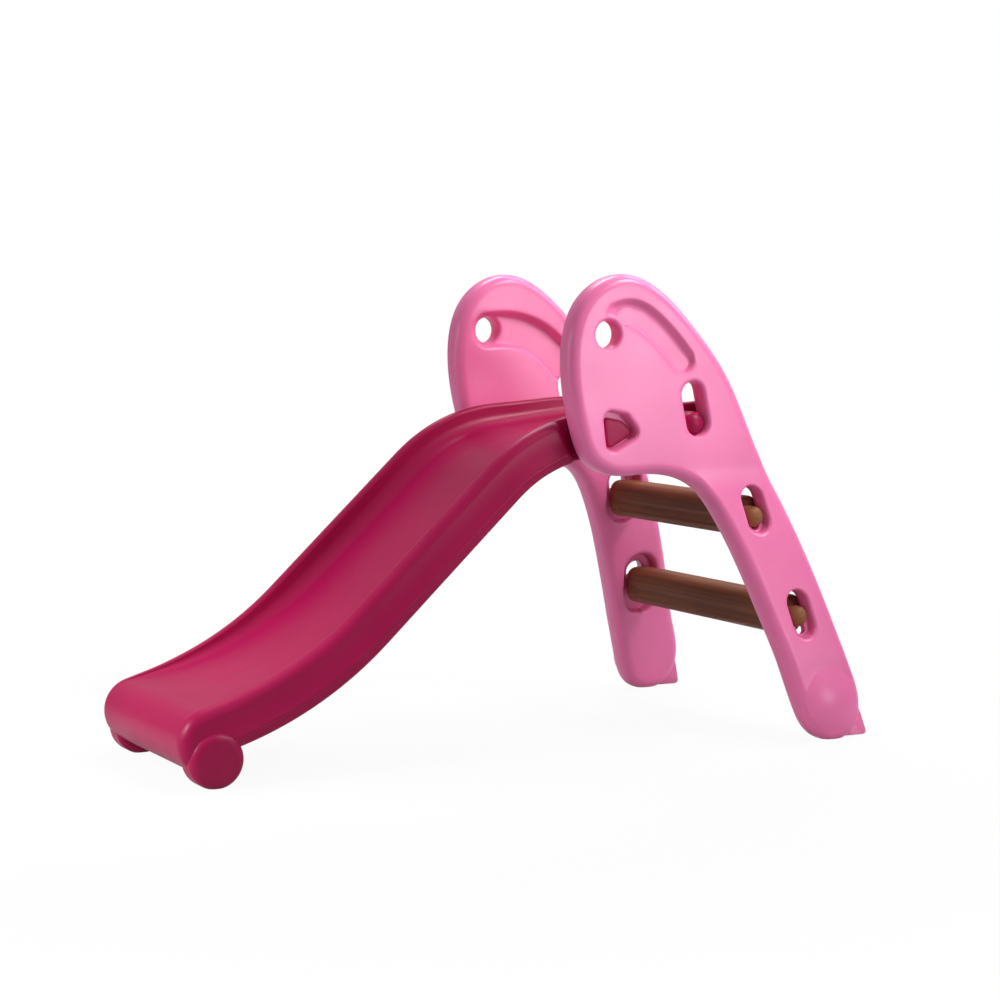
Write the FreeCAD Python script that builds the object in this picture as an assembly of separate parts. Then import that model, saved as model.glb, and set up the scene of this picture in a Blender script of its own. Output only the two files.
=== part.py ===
import FreeCAD, Part
import math
import os

# Toddler slide, knock-down and tool-free: two blow-moulded side panels carry a
# blow-moulded chute and two rungs on plugs moulded in one with each piece.
# Millimetres. +X towards the ladder, +Z up, the XZ plane is the plane of symmetry,
# the floor is Z = 0 and X = 0 lies halfway between the nose and the heels.

V = FreeCAD.Vector

# --- shared ---------------------------------------------------------------
WALL = 3.5            # skin of every hollow moulding
SEAT_GAP = 0.3        # room between a plug and the wall that it bears on
SIDE_GAP = 0.8        # room between the chute neck and the inner panel faces

# --- side panels, outline seen from the side -------------------------------
PANEL_T = 42.0        # thickness of a panel, skin to skin
EDGE_R = 15.0         # rounding of the panel's rim
HEAD_FRONT = 49.0     # foremost point of the head
HEAD_TOP = 668.0      # crown of the head
HEAD_BOTTOM = 387.0   # underside of the head
NECK_WIDTH = 122.0    # leg, along X, at NECK_Z
NECK_Z = 350.0
NECK_X = 338.5        # middle of the leg there
KNEE_WIDTH = 112.0    # leg, along X, at KNEE_Z
KNEE_Z = 200.0
KNEE_X = 401.0
ANKLE_WIDTH = 110.0   # leg, along X, at ANKLE_Z
ANKLE_Z = 105.0
ANKLE_X = 432.0
FOOT_X = 449.0        # middle of the round foot
FOOT_R = 50.0
FOOT_TRIM = 3.0       # how far the round foot is cut flat
HEEL_REACH = 65.0     # tip of the heel fin behind the middle of the foot
HEEL_HEIGHT = 52.0
HEEL_T = 10.0

# --- side panels, seen from the end ----------------------------------------
HEAD_HALF = 167.0     # middle of an upright head from the plane of symmetry
BEND_Z = 378.0        # below this the leg splays out
SPLAY = 13.9          # degrees
SHIN_Z = 121.0        # below this the splay is less
SHIN_SPLAY = 9.2      # degrees
BEND_R = 160.0        # of the middle layer, at both bends
DOME_R = 45.0         # round bulge on the outside of the foot
DOME_H = 9.0
DOME_X = 444.0
DOME_Z = 58.0

# --- hand hole and recesses -------------------------------------------------
HAND_X = 109.0
HAND_Z = 585.0
HAND_R = 19.5
OUTER_RECESS_DEPTH = 7.0
OUTER_RECESS_HALF = 18.0   # half of the band's width
INNER_RECESS_DEPTH = 13.0
INNER_RECESS_HALF = 27.0
RECESS_DRAFT = 4.0         # how much narrower a recess is at its floor

# --- slots for the round plugs ----------------------------------------------
SLOT_TILT = 12.0      # degrees, top leaning forwards
SLOT_R = 18.0         # half width of the slot on the outer face
SLOT_DEPTH = 15.0     # of the slot on the outer face
THROAT_GAP = 0.6      # the throat behind it is wider than the plug by this, per side
RELIEF_HALF = 7.0     # half width of the relief below a seat
POCKET_R = 29.0       # half width of the pocket on the inner face, for a rung's body
POCKET_BELOW = 6.0    # how much further down than the slot a pocket reaches
POCKET_DEPTH = 17.0
TIP_DEPTH = 2.0       # plug tips end this far below the outer face
TIP_DOME = 12.0       # height of a plug's domed tip

# --- rungs ------------------------------------------------------------------
RUNG_DEPTH = 50.0     # along X
RUNG_HEIGHT = 56.0
RUNG_CORNER_R = 15.0
RUNG_END_R = 13.0     # taper at the end of a rung's body
RUNG_PLUG_R = 15.0
RUNG_ENTRY = 11.0     # how far a rung's body reaches into a panel
LOWER_RUNG_X = 408.5
LOWER_RUNG_Z = 177.0
LOWER_SLOT_RISE = 21.0   # slot's upper centre above the plug
LOWER_SLOT_DROP = 13.0   # slot's lower centre below the plug
UPPER_RUNG_X = 354.0
UPPER_RUNG_Z = 321.0
UPPER_SLOT_RISE = 27.0
UPPER_SLOT_DROP = 5.0

# --- chute ------------------------------------------------------------------
RAIL_HALF = 155.0     # outer face of a rail from the plane of symmetry
RAIL_T = 22.0         # thickness of a rail
RAIL_R = 9.0          # rounding of the rails' top edges
NECK_R = 6.0          # rounding of the outer ones between the panels
SHOULDER_R = 8.0      # rounding of the shoulders in front of the panels
BAND = 64.0           # rail top to underside, square to the path
DECK_END_X = 288.0    # rear end of the deck
DECK_Z = 487.5        # rail top there
CREST_X = 14.0        # where deck and slope would meet
CREST_Z = 469.5
CREST_R = 260.0
TOE_X = -338.0        # where slope and run-out would meet
TOE_Z = 146.5
TOE_R = 480.0
NOSE_X = -468.5       # middle of the nose roll
NOSE_Z = 60.5
NOSE_R = 45.0
NOSE_END_R = 16.0     # rounding of the roll's ends
DECK_DEPTH = 24.0     # floor below the rail tops, at the deck
SLOPE_DEPTH = 38.0    # at the crest
TOE_DEPTH = 36.0
NOSE_DEPTH = 1.5      # the rails run out here
FLOOR_R = 24.0        # floor to rail
DECK_CORNER_R = 9.0   # upright corners of the deck's rear end
SHOULDER_X = 62.0     # in front of its shoulders the chute is wider than the room between the panels
SHOULDER_Z = 443.0    # height at which a shoulder's end face is at SHOULDER_X
SHOULDER_TILT = 22.8  # degrees, top leaning forwards along the panels' front edges
REST_X = -464.0       # round rests under the nose
REST_R = 38.5
REST_TRIM = 1.5       # how far a round rest is cut flat
REST_IN = 118.0       # inner face from the plane of symmetry
REST_OUT = 162.0
REST_EDGE_R = 13.0    # rounding of a rest's outer rim
REST_INNER_R = 8.0    # and of its inner one
REAR_PLUG_X = 259.0
REAR_PLUG_Z = 458.0
REAR_PLUG_R = 16.5
REAR_SLOT_RISE = 42.0
REAR_SLOT_DROP = 0.0
REAR_POCKET_R = 23.5  # half width of the pocket on the inner face
LUG_X = 119.0         # centre of the lug's lower front corner
LUG_Z = 434.5
LUG_LENGTH = 27.5     # to the centre of its rear corner
LUG_REAR_UP = 14.5    # rear corner above the lower front one
LUG_TOP_BACK = 15.0   # upper rear corner behind the lower front one
LUG_TOP_UP = 23.0
LUG_LEAN = 4.0        # upper front corner in front of the lower front one
LUG_HEIGHT = 26.5
LUG_R = 7.0           # radius of its corners
LUG_EDGE_R = 2.0      # rounding of its face's rim
LUG_DEPTH = 9.0       # its face lies this far below the outer panel face
LUG_POCKET_R = 12.0   # corner radius of the pocket round it on the outer face
LUG_POCKET_RISE = 6.0 # how much higher the pocket's upper corners are than the lug's
LUG_POCKET_DEPTH = 15.0



# --- helpers ----------------------------------------------------------------
def unit(a):
    length = math.hypot(a[0], a[1])
    return (a[0] / length, a[1] / length)


def shifted(points, offsets):
    """A polyline moved to its left by one distance per corner, corners mitred."""
    out = []
    for i, point in enumerate(points):
        before = unit((point[0] - points[i - 1][0], point[1] - points[i - 1][1])) if i else None
        after = None
        if i + 1 < len(points):
            after = unit((points[i + 1][0] - point[0], points[i + 1][1] - point[1]))
        before = before or after
        after = after or before
        n1 = (-before[1], before[0])
        n2 = (-after[1], after[0])
        scale = offsets[i] / (1.0 + n1[0] * n2[0] + n1[1] * n2[1])
        out.append((point[0] + (n1[0] + n2[0]) * scale, point[1] + (n1[1] + n2[1]) * scale))
    return out


def rounded_path(points, radii, place):
    """Edges along a polyline whose inner corners are rounded; place turns (a, b) into 3-D."""
    edges = []
    start = points[0]
    for i in range(1, len(points) - 1):
        corner = points[i]
        d1 = unit((corner[0] - points[i - 1][0], corner[1] - points[i - 1][1]))
        d2 = unit((points[i + 1][0] - corner[0], points[i + 1][1] - corner[1]))
        turn = math.acos(max(-1.0, min(1.0, d1[0] * d2[0] + d1[1] * d2[1])))
        cut = radii[i - 1] * math.tan(turn / 2)
        a = (corner[0] - d1[0] * cut, corner[1] - d1[1] * cut)
        b = (corner[0] + d2[0] * cut, corner[1] + d2[1] * cut)
        sag = radii[i - 1] * (1.0 / math.cos(turn / 2) - 1.0)
        inward = unit((d2[0] - d1[0], d2[1] - d1[1]))
        middle = (corner[0] + inward[0] * sag, corner[1] + inward[1] * sag)
        edges.append(Part.makeLine(place(*start), place(*a)))
        edges.append(Part.Arc(place(*a), place(*middle), place(*b)).toShape())
        start = b
    edges.append(Part.makeLine(place(*start), place(*points[-1])))
    return edges


def in_side_plane(x, z):
    return V(x, 0, z)


def in_end_plane(y, z):
    return V(0, y, z)


def prism(wire, y0, y1):
    """The area in a side-view wire, from y0 to y1."""
    face = Part.Face(wire)
    face.translate(V(0, y0, 0))
    return face.extrude(V(0, y1 - y0, 0))


def closed_spline(points, inset):
    """Smooth closed curve through points given clockwise, moved inwards by inset."""
    curve = Part.BSplineCurve()
    curve.interpolate(Points=[in_side_plane(*p) for p in points], PeriodicFlag=True)
    if not inset:
        return Part.Wire([curve.toShape()])
    moved = []
    for point in points:
        along = curve.tangent(curve.parameter(in_side_plane(*point)))[0]
        moved.append((point[0] + along.z * inset, point[1] - along.x * inset))
    return closed_spline(moved, 0)


def open_spline(points):
    curve = Part.BSplineCurve()
    curve.interpolate(Points=[in_side_plane(*p) for p in points])
    return curve


def stadium(x, z, rise, drop, radius, tilt):
    """Long hole round (x, z): its upper centre is rise above it, its lower centre drop below."""
    a = math.radians(tilt)
    up = (-math.sin(a), math.cos(a))
    side = (math.cos(a), math.sin(a))

    def at(along, across):
        return in_side_plane(x + up[0] * along + side[0] * across, z + up[1] * along + side[1] * across)

    top_arc = Part.Arc(at(rise, -radius), at(rise + radius, 0), at(rise, radius)).toShape()
    low_arc = Part.Arc(at(-drop, radius), at(-drop - radius, 0), at(-drop, -radius)).toShape()
    right = Part.makeLine(at(rise, radius), at(-drop, radius))
    left = Part.makeLine(at(-drop, -radius), at(rise, -radius))
    return Part.Wire([top_arc, right, low_arc, left])


def both_sides(shape):
    return [shape, shape.mirror(V(0, 0, 0), V(0, 1, 0))]


def without(shape, tools):
    """A shape with each of the tools cut out of it in turn."""
    for tool in tools:
        shape = shape.cut(tool)
    return shape


def hollowed(skin, hollow):
    """A moulding with a closed hollow that lies wholly inside its skin."""
    shells = skin.Shells + [shell.reversed() for shell in hollow.Shells]
    return Part.Solid(Part.Compound(shells))


def mid_y(z):
    """Middle layer of a panel from the plane of symmetry, at a height."""
    y = HEAD_HALF
    if z < BEND_Z:
        y += (BEND_Z - max(z, SHIN_Z)) * math.tan(math.radians(SPLAY))
    if z < SHIN_Z:
        y += (SHIN_Z - z) * math.tan(math.radians(SHIN_SPLAY))
    return y


def face_y(z, out):
    """Outer (out = 1) or inner (out = -1) face of a panel, at a height."""
    lean = 0.0 if z > BEND_Z else SPLAY if z > SHIN_Z else SHIN_SPLAY
    return mid_y(z) + out * PANEL_T / 2 / math.cos(math.radians(lean))


# --- side panel ---------------------------------------------------------------
def panel_outline(inset):
    """From the crown down the back, round the foot, up the leg and round the head."""
    foot_z = FOOT_R - FOOT_TRIM
    return closed_spline([
        (HEAD_FRONT + 94, HEAD_TOP),
        (HEAD_FRONT + 151, HEAD_TOP - 22),
        (HEAD_FRONT + 207, HEAD_TOP - 73),
        (HEAD_FRONT + 262, HEAD_TOP - 141),
        (HEAD_FRONT + 307, HEAD_TOP - 229),
        (NECK_X + NECK_WIDTH / 2, NECK_Z),
        (KNEE_X + KNEE_WIDTH / 2, KNEE_Z),
        (ANKLE_X + ANKLE_WIDTH / 2, ANKLE_Z),
        (FOOT_X + FOOT_R, foot_z),
        (FOOT_X + FOOT_R * 0.7, foot_z - FOOT_R * 0.71),
        (FOOT_X, foot_z - FOOT_R),
        (FOOT_X - FOOT_R * 0.7, foot_z - FOOT_R * 0.71),
        (FOOT_X - FOOT_R - 4, foot_z),
        (ANKLE_X - ANKLE_WIDTH / 2, ANKLE_Z),
        (KNEE_X - KNEE_WIDTH / 2, KNEE_Z),
        (NECK_X - NECK_WIDTH / 2 + 14, NECK_Z - 22),
        (NECK_X - NECK_WIDTH / 2 - 14, NECK_Z + 15),
        (NECK_X - NECK_WIDTH / 2 - 58, HEAD_BOTTOM - 3),
        (HEAD_FRONT + 125, HEAD_BOTTOM + 1),
        (HEAD_FRONT + 72, HEAD_BOTTOM + 2),
        (HEAD_FRONT + 36, HEAD_BOTTOM + 21),
        (HEAD_FRONT + 15, HEAD_BOTTOM + 66),
        (HEAD_FRONT, HEAD_BOTTOM + 156),
        (HEAD_FRONT + 20, HEAD_TOP - 40),
        (HEAD_FRONT + 50, HEAD_TOP - 12),
    ], inset)


def layer(inner, outer):
    """The bent plate between two offsets from a panel's middle layer, endless along X."""
    top = HEAD_TOP + PANEL_T
    low = -PANEL_T
    middle = [(mid_y(top), top), (mid_y(BEND_Z), BEND_Z), (mid_y(SHIN_Z), SHIN_Z), (mid_y(low), low)]
    near = shifted(middle, [outer] * 4)
    far = shifted(middle, [inner] * 4)
    edges = rounded_path(near, [BEND_R - outer, BEND_R + outer], in_end_plane)
    edges += rounded_path(far, [BEND_R - inner, BEND_R + inner], in_end_plane)
    edges.append(Part.makeLine(in_end_plane(*near[0]), in_end_plane(*far[0])))
    edges.append(Part.makeLine(in_end_plane(*near[-1]), in_end_plane(*far[-1])))
    face = Part.Face(Part.Wire(Part.__sortEdges__(edges)))
    return face.extrude(V(FOOT_X + HEEL_REACH + PANEL_T, 0, 0))


FAR_Y = mid_y(0) + PANEL_T * 2


def panel_body(inset):
    """The bare panel with its rounded rim, everything moved inwards by inset."""
    half = PANEL_T / 2 - inset
    plate = prism(panel_outline(inset), 0, FAR_Y).common(layer(-half, half))
    rim = [e for e in plate.Edges if e.BoundBox.YLength > 0.01 or e.BoundBox.ZLength > 0.01]
    return plate.makeFillet(EDGE_R - inset, rim)


def foot_dome(inset):
    """Shallow dome on the outer face of the foot."""
    ball_r = (DOME_R ** 2 + DOME_H ** 2) / (2 * DOME_H)
    lean = math.radians(SHIN_SPLAY)
    out = PANEL_T / 2 / math.cos(lean)
    depth = ball_r - DOME_H
    centre = V(DOME_X, mid_y(DOME_Z) + out - depth * math.cos(lean), DOME_Z - depth * math.sin(lean))
    ball = Part.makeSphere(ball_r - inset, centre)
    return ball.common(layer(PANEL_T / 2 - inset - 1, PANEL_T / 2 + DOME_H))


def heel_fin():
    """Thin fin that squares off the back of the round foot."""
    tip = (FOOT_X + HEEL_REACH, 0)
    wire = Part.makePolygon([
        in_side_plane(FOOT_X, 0),
        in_side_plane(*tip),
        in_side_plane(tip[0] - 3, HEEL_HEIGHT * 0.3),
        in_side_plane(FOOT_X + FOOT_R - 1, HEEL_HEIGHT + 6),
        in_side_plane(FOOT_X, HEEL_HEIGHT),
        in_side_plane(FOOT_X, 0),
    ])
    return prism(wire, 0, FAR_Y).common(layer(-HEEL_T / 2, HEEL_T / 2))


def band_wire(points, half):
    """Outline of a round-ended band along a smooth line."""
    middle = open_spline(points)
    ends = [middle.FirstParameter, middle.LastParameter]
    sides = []
    for way in (half, -half):
        rim = []
        for i in range(2 * len(points) - 1):
            at = ends[0] + (ends[1] - ends[0]) * i / (2 * len(points) - 2)
            along = middle.tangent(at)[0]
            rim.append(middle.value(at) + V(-along.z, 0, along.x) * way)
        sides.append(rim)
    tip = middle.value(ends[1]) + middle.tangent(ends[1])[0] * half
    tail = middle.value(ends[0]) - middle.tangent(ends[0])[0] * half
    upper = open_spline([(p.x, p.z) for p in sides[0]])
    lower = open_spline([(p.x, p.z) for p in reversed(sides[1])])
    nose = Part.Arc(sides[0][-1], tip, sides[1][-1])
    heel = Part.Arc(sides[1][0], tail, sides[0][0])
    return Part.Wire([curve.toShape() for curve in (upper, nose, lower, heel)])


def tapered_band(points, half, y_floor, depth):
    """Band-shaped recess, narrower at its floor, that runs on past its mouth; depth is signed."""
    floor = band_wire(points, half - RECESS_DRAFT)
    beyond = band_wire(points, half + RECESS_DRAFT / 2)
    floor.translate(V(0, y_floor, 0))
    beyond.translate(V(0, y_floor + 1.5 * depth, 0))
    return Part.makeLoft([floor, beyond], True)


def outer_recess(grow):
    """Band under the hand rim on the outer face of the head."""
    floor = HEAD_HALF + PANEL_T / 2 - OUTER_RECESS_DEPTH
    line = [
        (HAND_X + 14, HAND_Z + 26),
        (HAND_X + 37, HAND_Z + 30),
        (HAND_X + 72, HAND_Z + 14),
        (HAND_X + 123, HAND_Z - 36),
    ]
    return tapered_band(line, OUTER_RECESS_HALF + grow, floor - grow, OUTER_RECESS_DEPTH)


def inner_recess(grow):
    """Wider band on the inner face, from the hand hole to the chute's rear slot."""
    floor = HEAD_HALF - PANEL_T / 2 + INNER_RECESS_DEPTH
    line = [
        (HAND_X - 6, HAND_Z),
        (HAND_X + 34, HAND_Z),
        (HAND_X + 80, HAND_Z - 15),
        (HAND_X + 128, HAND_Z - 56),
    ]
    return tapered_band(line, INNER_RECESS_HALF + grow, floor + grow, -INNER_RECESS_DEPTH)


def round_plug_holes():
    """Place, plug radius, slot rise and drop and pocket radius of each round plug's hole."""
    return [
        (REAR_PLUG_X, REAR_PLUG_Z, REAR_PLUG_R, REAR_SLOT_RISE, REAR_SLOT_DROP, REAR_POCKET_R),
        (UPPER_RUNG_X, UPPER_RUNG_Z, RUNG_PLUG_R, UPPER_SLOT_RISE, UPPER_SLOT_DROP, POCKET_R),
        (LOWER_RUNG_X, LOWER_RUNG_Z, RUNG_PLUG_R, LOWER_SLOT_RISE, LOWER_SLOT_DROP, POCKET_R),
    ]


def throat(x, z, plug_r, rise, drop, grow):
    """Way through the web: it seats the plug and is open above it, with a narrow relief below."""
    radius = plug_r + THROAT_GAP + grow
    seat = z + THROAT_GAP - SEAT_GAP
    parts = prism(stadium(x, seat, rise, 0, radius, SLOT_TILT), 0, FAR_Y)
    if drop > SLOT_R - plug_r:
        relief = stadium(x, seat, 0, drop + SLOT_R - RELIEF_HALF, RELIEF_HALF + grow, SLOT_TILT)
        parts = parts.fuse(prism(relief, 0, FAR_Y))
    return parts


def plug_hole(x, z, plug_r, rise, drop, pocket_r, grow):
    """Slot on the outer face, throat through the web and wider pocket on the inner face."""
    hole = throat(x, z, plug_r, rise, drop, grow)
    slot = prism(stadium(x, z, rise, drop, SLOT_R + grow, SLOT_TILT), 0, FAR_Y)
    pocket = prism(stadium(x, z, rise, drop + POCKET_BELOW, pocket_r + grow, SLOT_TILT), 0, FAR_Y)
    slot = slot.common(layer(PANEL_T / 2 - SLOT_DEPTH - grow, PANEL_T * 2))
    pocket = pocket.common(layer(-PANEL_T * 2, POCKET_DEPTH - PANEL_T / 2 + grow))
    return hole.fuse(slot).fuse(pocket)


def lug_outline(rise, radius):
    """Rounded four-cornered outline, its two upper corners raised by rise."""
    corners = [
        in_side_plane(LUG_X, LUG_Z),
        in_side_plane(LUG_X + LUG_LENGTH, LUG_Z + LUG_REAR_UP),
        in_side_plane(LUG_X + LUG_TOP_BACK, LUG_Z + LUG_TOP_UP + rise),
        in_side_plane(LUG_X - LUG_LEAN, LUG_Z + LUG_HEIGHT + rise),
    ]
    return Part.makePolygon(corners + corners[:1]).makeOffset2D(radius)


def lug_hole(grow):
    """Hole that fits the lug closely, and a roomy pocket round it on the outer face."""
    floor = HEAD_HALF + PANEL_T / 2 - LUG_POCKET_DEPTH - grow
    fit = prism(lug_outline(0, LUG_R + SEAT_GAP + grow), 0, FAR_Y)
    return fit.fuse(prism(lug_outline(LUG_POCKET_RISE, LUG_POCKET_R + grow), floor, FAR_Y))


def panel_openings(grow):
    """Everything that is taken out of a panel, grown by a skin where the hollow stops short of it."""
    hand = Part.makeCylinder(HAND_R + grow, FAR_Y, V(HAND_X, 0, HAND_Z), V(0, 1, 0))
    cuts = [outer_recess(grow), inner_recess(grow), hand, lug_hole(grow)]
    for hole in round_plug_holes():
        cuts.append(plug_hole(*hole, grow))
    return cuts


def side_panel():
    """The panel on the +Y side."""
    ground = Part.makeBox(4 * FOOT_X, FAR_Y, FOOT_R, V(-FOOT_X, 0, -FOOT_R))
    skin = without(panel_body(0).fuse([foot_dome(0), heel_fin()]), [ground] + panel_openings(0))
    ground.translate(V(0, 0, WALL))
    hollow = without(panel_body(WALL).fuse(foot_dome(WALL)), [ground] + panel_openings(WALL))
    return hollowed(skin, hollow)


# --- chute --------------------------------------------------------------------
RAIL_CORNERS = [(DECK_END_X, DECK_Z), (CREST_X, CREST_Z), (TOE_X, TOE_Z)]


def run_out_end():
    """Point where the run-out meets the nose roll."""
    dx = NOSE_X - TOE_X
    dz = NOSE_Z - TOE_Z
    reach = math.hypot(dx, dz)
    angle = math.atan2(dz, dx) - math.asin(NOSE_R / reach)
    length = math.sqrt(reach ** 2 - NOSE_R ** 2)
    return (TOE_X + math.cos(angle) * length, TOE_Z + math.sin(angle) * length)


def path_at(depths):
    """Corners and radii of the line at four depths below the rails: deck, crest, toe and nose."""
    corners = shifted(RAIL_CORNERS + [run_out_end()], depths)
    return corners, [CREST_R - depths[1], TOE_R + depths[2]]


def run_on(a, b, length):
    """Point that lies length beyond b on the line from a."""
    d = unit((b[0] - a[0], b[1] - a[1]))
    return (b[0] + d[0] * length, b[1] + d[1] * length)


def chute_side(inset):
    """Side view of the chute from behind the deck to the nose roll, moved inwards by inset."""
    top, top_radii = path_at([inset] * 4)
    low, low_radii = path_at([BAND - inset] * 4)
    start = run_on(top[1], top[0], BAND)
    low_start = run_on(low[1], low[0], BAND)
    top_edges = rounded_path([start] + top[1:], top_radii, in_side_plane)
    low_edges = rounded_path([low_start] + low[1:], low_radii, in_side_plane)
    ends = [
        Part.makeLine(in_side_plane(*start), in_side_plane(*low_start)),
        Part.makeLine(in_side_plane(*top[-1]), in_side_plane(*low[-1])),
    ]
    return Part.Wire(Part.__sortEdges__(top_edges + low_edges + ends))


def rest(inset):
    """Round rest below the outer end of the nose."""
    radius = REST_R - inset
    middle = V(REST_X, REST_IN + inset, REST_R - REST_TRIM)
    drum = Part.makeCylinder(radius, REST_OUT - REST_IN - 2 * inset, middle, V(0, 1, 0))
    inner = [e for e in drum.Edges if e.BoundBox.YMax < middle.y + 0.01]
    drum = drum.makeFillet(REST_INNER_R - inset, inner)
    outer = [e for e in drum.Edges if e.BoundBox.YMin > REST_OUT - inset - 0.01]
    return drum.makeFillet(REST_EDGE_R - inset, outer)


def neck_half():
    """Half width of the chute between the panels."""
    return HEAD_HALF - PANEL_T / 2 - SIDE_GAP


def rail_edges(slab, y):
    """Edges of a slab along the rail tops, at a distance from the plane of symmetry."""
    line = Part.Wire(rounded_path(*path_at([0] * 4), in_side_plane))
    found = []
    for edge in slab.Edges:
        middle = edge.valueAt((edge.FirstParameter + edge.LastParameter) / 2)
        gap = line.distToShape(Part.Vertex(in_side_plane(middle.x, middle.z)))[0]
        if edge.BoundBox.YLength < 0.01 and abs(abs(middle.y) - y) < 0.01 and gap < RAIL_R:
            found.append(edge)
    return found


def slab(half, radius, inset):
    """The chute's side view across its width, its upper edges rounded."""
    block = prism(chute_side(inset), inset - half, half - inset)
    return block.makeFillet(radius - inset, rail_edges(block, half - inset))


def neck_room(inset):
    """Upright block that the chute fills between the panels, its rear corners rounded."""
    half = neck_half() - inset
    start = SHOULDER_X - 3 * SHOULDER_R
    block = Part.makeBox(DECK_END_X - inset - start, 2 * half, HEAD_TOP, V(start, -half, 0))
    corners = [e for e in block.Edges if e.BoundBox.ZLength > 1 and e.BoundBox.XMin > start + 1]
    return block.makeFillet(DECK_CORNER_R - inset, corners)


def front_slab(inset):
    """The wide part of the chute, ending in two leaning shoulders in front of the panels."""
    behind = Part.makeBox(2 * DECK_END_X, 2 * RAIL_HALF, 2 * HEAD_TOP, V(-inset, -RAIL_HALF, -HEAD_TOP))
    behind.rotate(V(0, 0, 0), V(0, 1, 0), -SHOULDER_TILT)
    behind.translate(V(SHOULDER_X, 0, SHOULDER_Z))
    front = slab(RAIL_HALF, RAIL_R, inset).cut(behind)
    rim = []
    for edge in front.Edges:
        if all(behind.distToShape(vertex)[0] < 0.01 for vertex in edge.Vertexes):
            rim.append(edge)
    return front.makeFillet(SHOULDER_R - inset, rim)


def chute_body(inset):
    """Chute without its channel, lugs and plugs, moved inwards by inset."""
    neck = slab(neck_half(), NECK_R, inset).common(neck_room(inset))
    roll_half = RAIL_HALF - inset
    roll = Part.makeCylinder(NOSE_R - inset, 2 * roll_half, V(NOSE_X, -roll_half, NOSE_Z), V(0, 1, 0))
    ends = [e for e in roll.Edges if e.BoundBox.YLength < 0.01]
    roll = roll.makeFillet(NOSE_END_R - inset, ends)
    return front_slab(inset).fuse([neck, roll] + both_sides(rest(inset)))


def channel(grow):
    """Room above the floor between the rails, open at the top, nose and deck ends."""
    depths = [DECK_DEPTH + grow, SLOPE_DEPTH + grow, TOE_DEPTH + grow, NOSE_DEPTH + grow]
    floor, radii = path_at(depths)
    floor[3] = run_on(floor[2], floor[3], NOSE_R * 3)
    floor[0] = run_on(floor[1], floor[0], BAND)
    edges = rounded_path(floor, radii, in_side_plane)
    top = HEAD_TOP
    edges.append(Part.makeLine(in_side_plane(*floor[-1]), in_side_plane(floor[-1][0], top)))
    edges.append(Part.makeLine(in_side_plane(floor[-1][0], top), in_side_plane(floor[0][0], top)))
    edges.append(Part.makeLine(in_side_plane(floor[0][0], top), in_side_plane(*floor[0])))
    half = RAIL_HALF - RAIL_T + grow
    room = prism(Part.Wire(Part.__sortEdges__(edges)), -half, half)
    low = [e for e in room.Edges if e.BoundBox.YLength < 0.01 and e.BoundBox.ZMax < top - 1]
    return room.makeFillet(FLOOR_R + grow, low)


def rail_relief(inset):
    """What the rounding of the rails' inner upper edges takes away."""
    inner = RAIL_HALF - RAIL_T + inset
    bar = prism(chute_side(inset), inner, RAIL_HALF - inset)
    return bar.cut(bar.makeFillet(RAIL_R - inset, rail_edges(bar, inner)))


def plug(x, z, radius, start_y):
    """Round plug with a domed tip that ends just below the panel's outer face."""
    tip = face_y(z, 1) - TIP_DEPTH
    ball_r = (radius ** 2 + TIP_DOME ** 2) / (2 * TIP_DOME)
    shaft = Part.makeCylinder(radius, tip - start_y, V(x, start_y, z), V(0, 1, 0))
    return shaft.common(Part.makeSphere(ball_r, V(x, tip - ball_r, z)).fuse(
        Part.makeCylinder(radius, tip - TIP_DOME - start_y, V(x, start_y, z), V(0, 1, 0))))


def lug():
    """Flat-faced lug at the front of the deck."""
    face = HEAD_HALF + PANEL_T / 2 - LUG_DEPTH
    block = prism(lug_outline(0, LUG_R), neck_half() - WALL, face)
    rim = [e for e in block.Edges if e.BoundBox.YLength < 0.01 and e.BoundBox.YMax > face - 0.01]
    return block.makeFillet(LUG_EDGE_R, rim)


def chute():
    ground = Part.makeBox(4 * FOOT_X, FAR_Y * 2, FOOT_R, V(-3 * FOOT_X, -FAR_Y, -FOOT_R))
    skin = without(chute_body(0), [ground, channel(0)] + both_sides(rail_relief(0)))
    ground.translate(V(0, 0, WALL))
    hollow = without(chute_body(WALL), [ground, channel(WALL)] + both_sides(rail_relief(WALL)))
    plugs = both_sides(lug()) + both_sides(plug(REAR_PLUG_X, REAR_PLUG_Z, REAR_PLUG_R, neck_half() - WALL))
    return hollowed(skin.fuse(plugs), hollow)


# --- rungs --------------------------------------------------------------------
def rung_block(x, z, half_length, inset):
    """Body of a rung, rounded along its length and at its ends."""
    width = RUNG_DEPTH - 2 * inset
    height = RUNG_HEIGHT - 2 * inset
    length = 2 * (half_length - inset)
    block = Part.makeBox(width, length, height, V(x - width / 2, -length / 2, z - height / 2))
    along = [e for e in block.Edges if e.BoundBox.YLength > 1]
    block = block.makeFillet(RUNG_CORNER_R - inset, along)
    ends = [e for e in block.Edges if e.BoundBox.YLength < 0.01]
    return block.makeFillet(RUNG_END_R - inset, ends)


def rung(x, z):
    half_length = face_y(z, -1) + RUNG_ENTRY
    body = rung_block(x, z, half_length, 0).cut(rung_block(x, z, half_length, WALL))
    return body.fuse(both_sides(plug(x, z, RUNG_PLUG_R, half_length - WALL)))


# --- pieces -------------------------------------------------------------------
def main():
    os.makedirs("parts", exist_ok=True)
    right = side_panel()
    pieces = {
        "side_panel_right": right,
        "side_panel_left": right.mirror(V(0, 0, 0), V(0, 1, 0)),
        "chute": chute(),
        "upper_rung": rung(UPPER_RUNG_X, UPPER_RUNG_Z),
        "lower_rung": rung(LOWER_RUNG_X, LOWER_RUNG_Z),
    }
    for name, shape in pieces.items():
        shape.exportStep("parts/" + name + ".step")


main()
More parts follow.
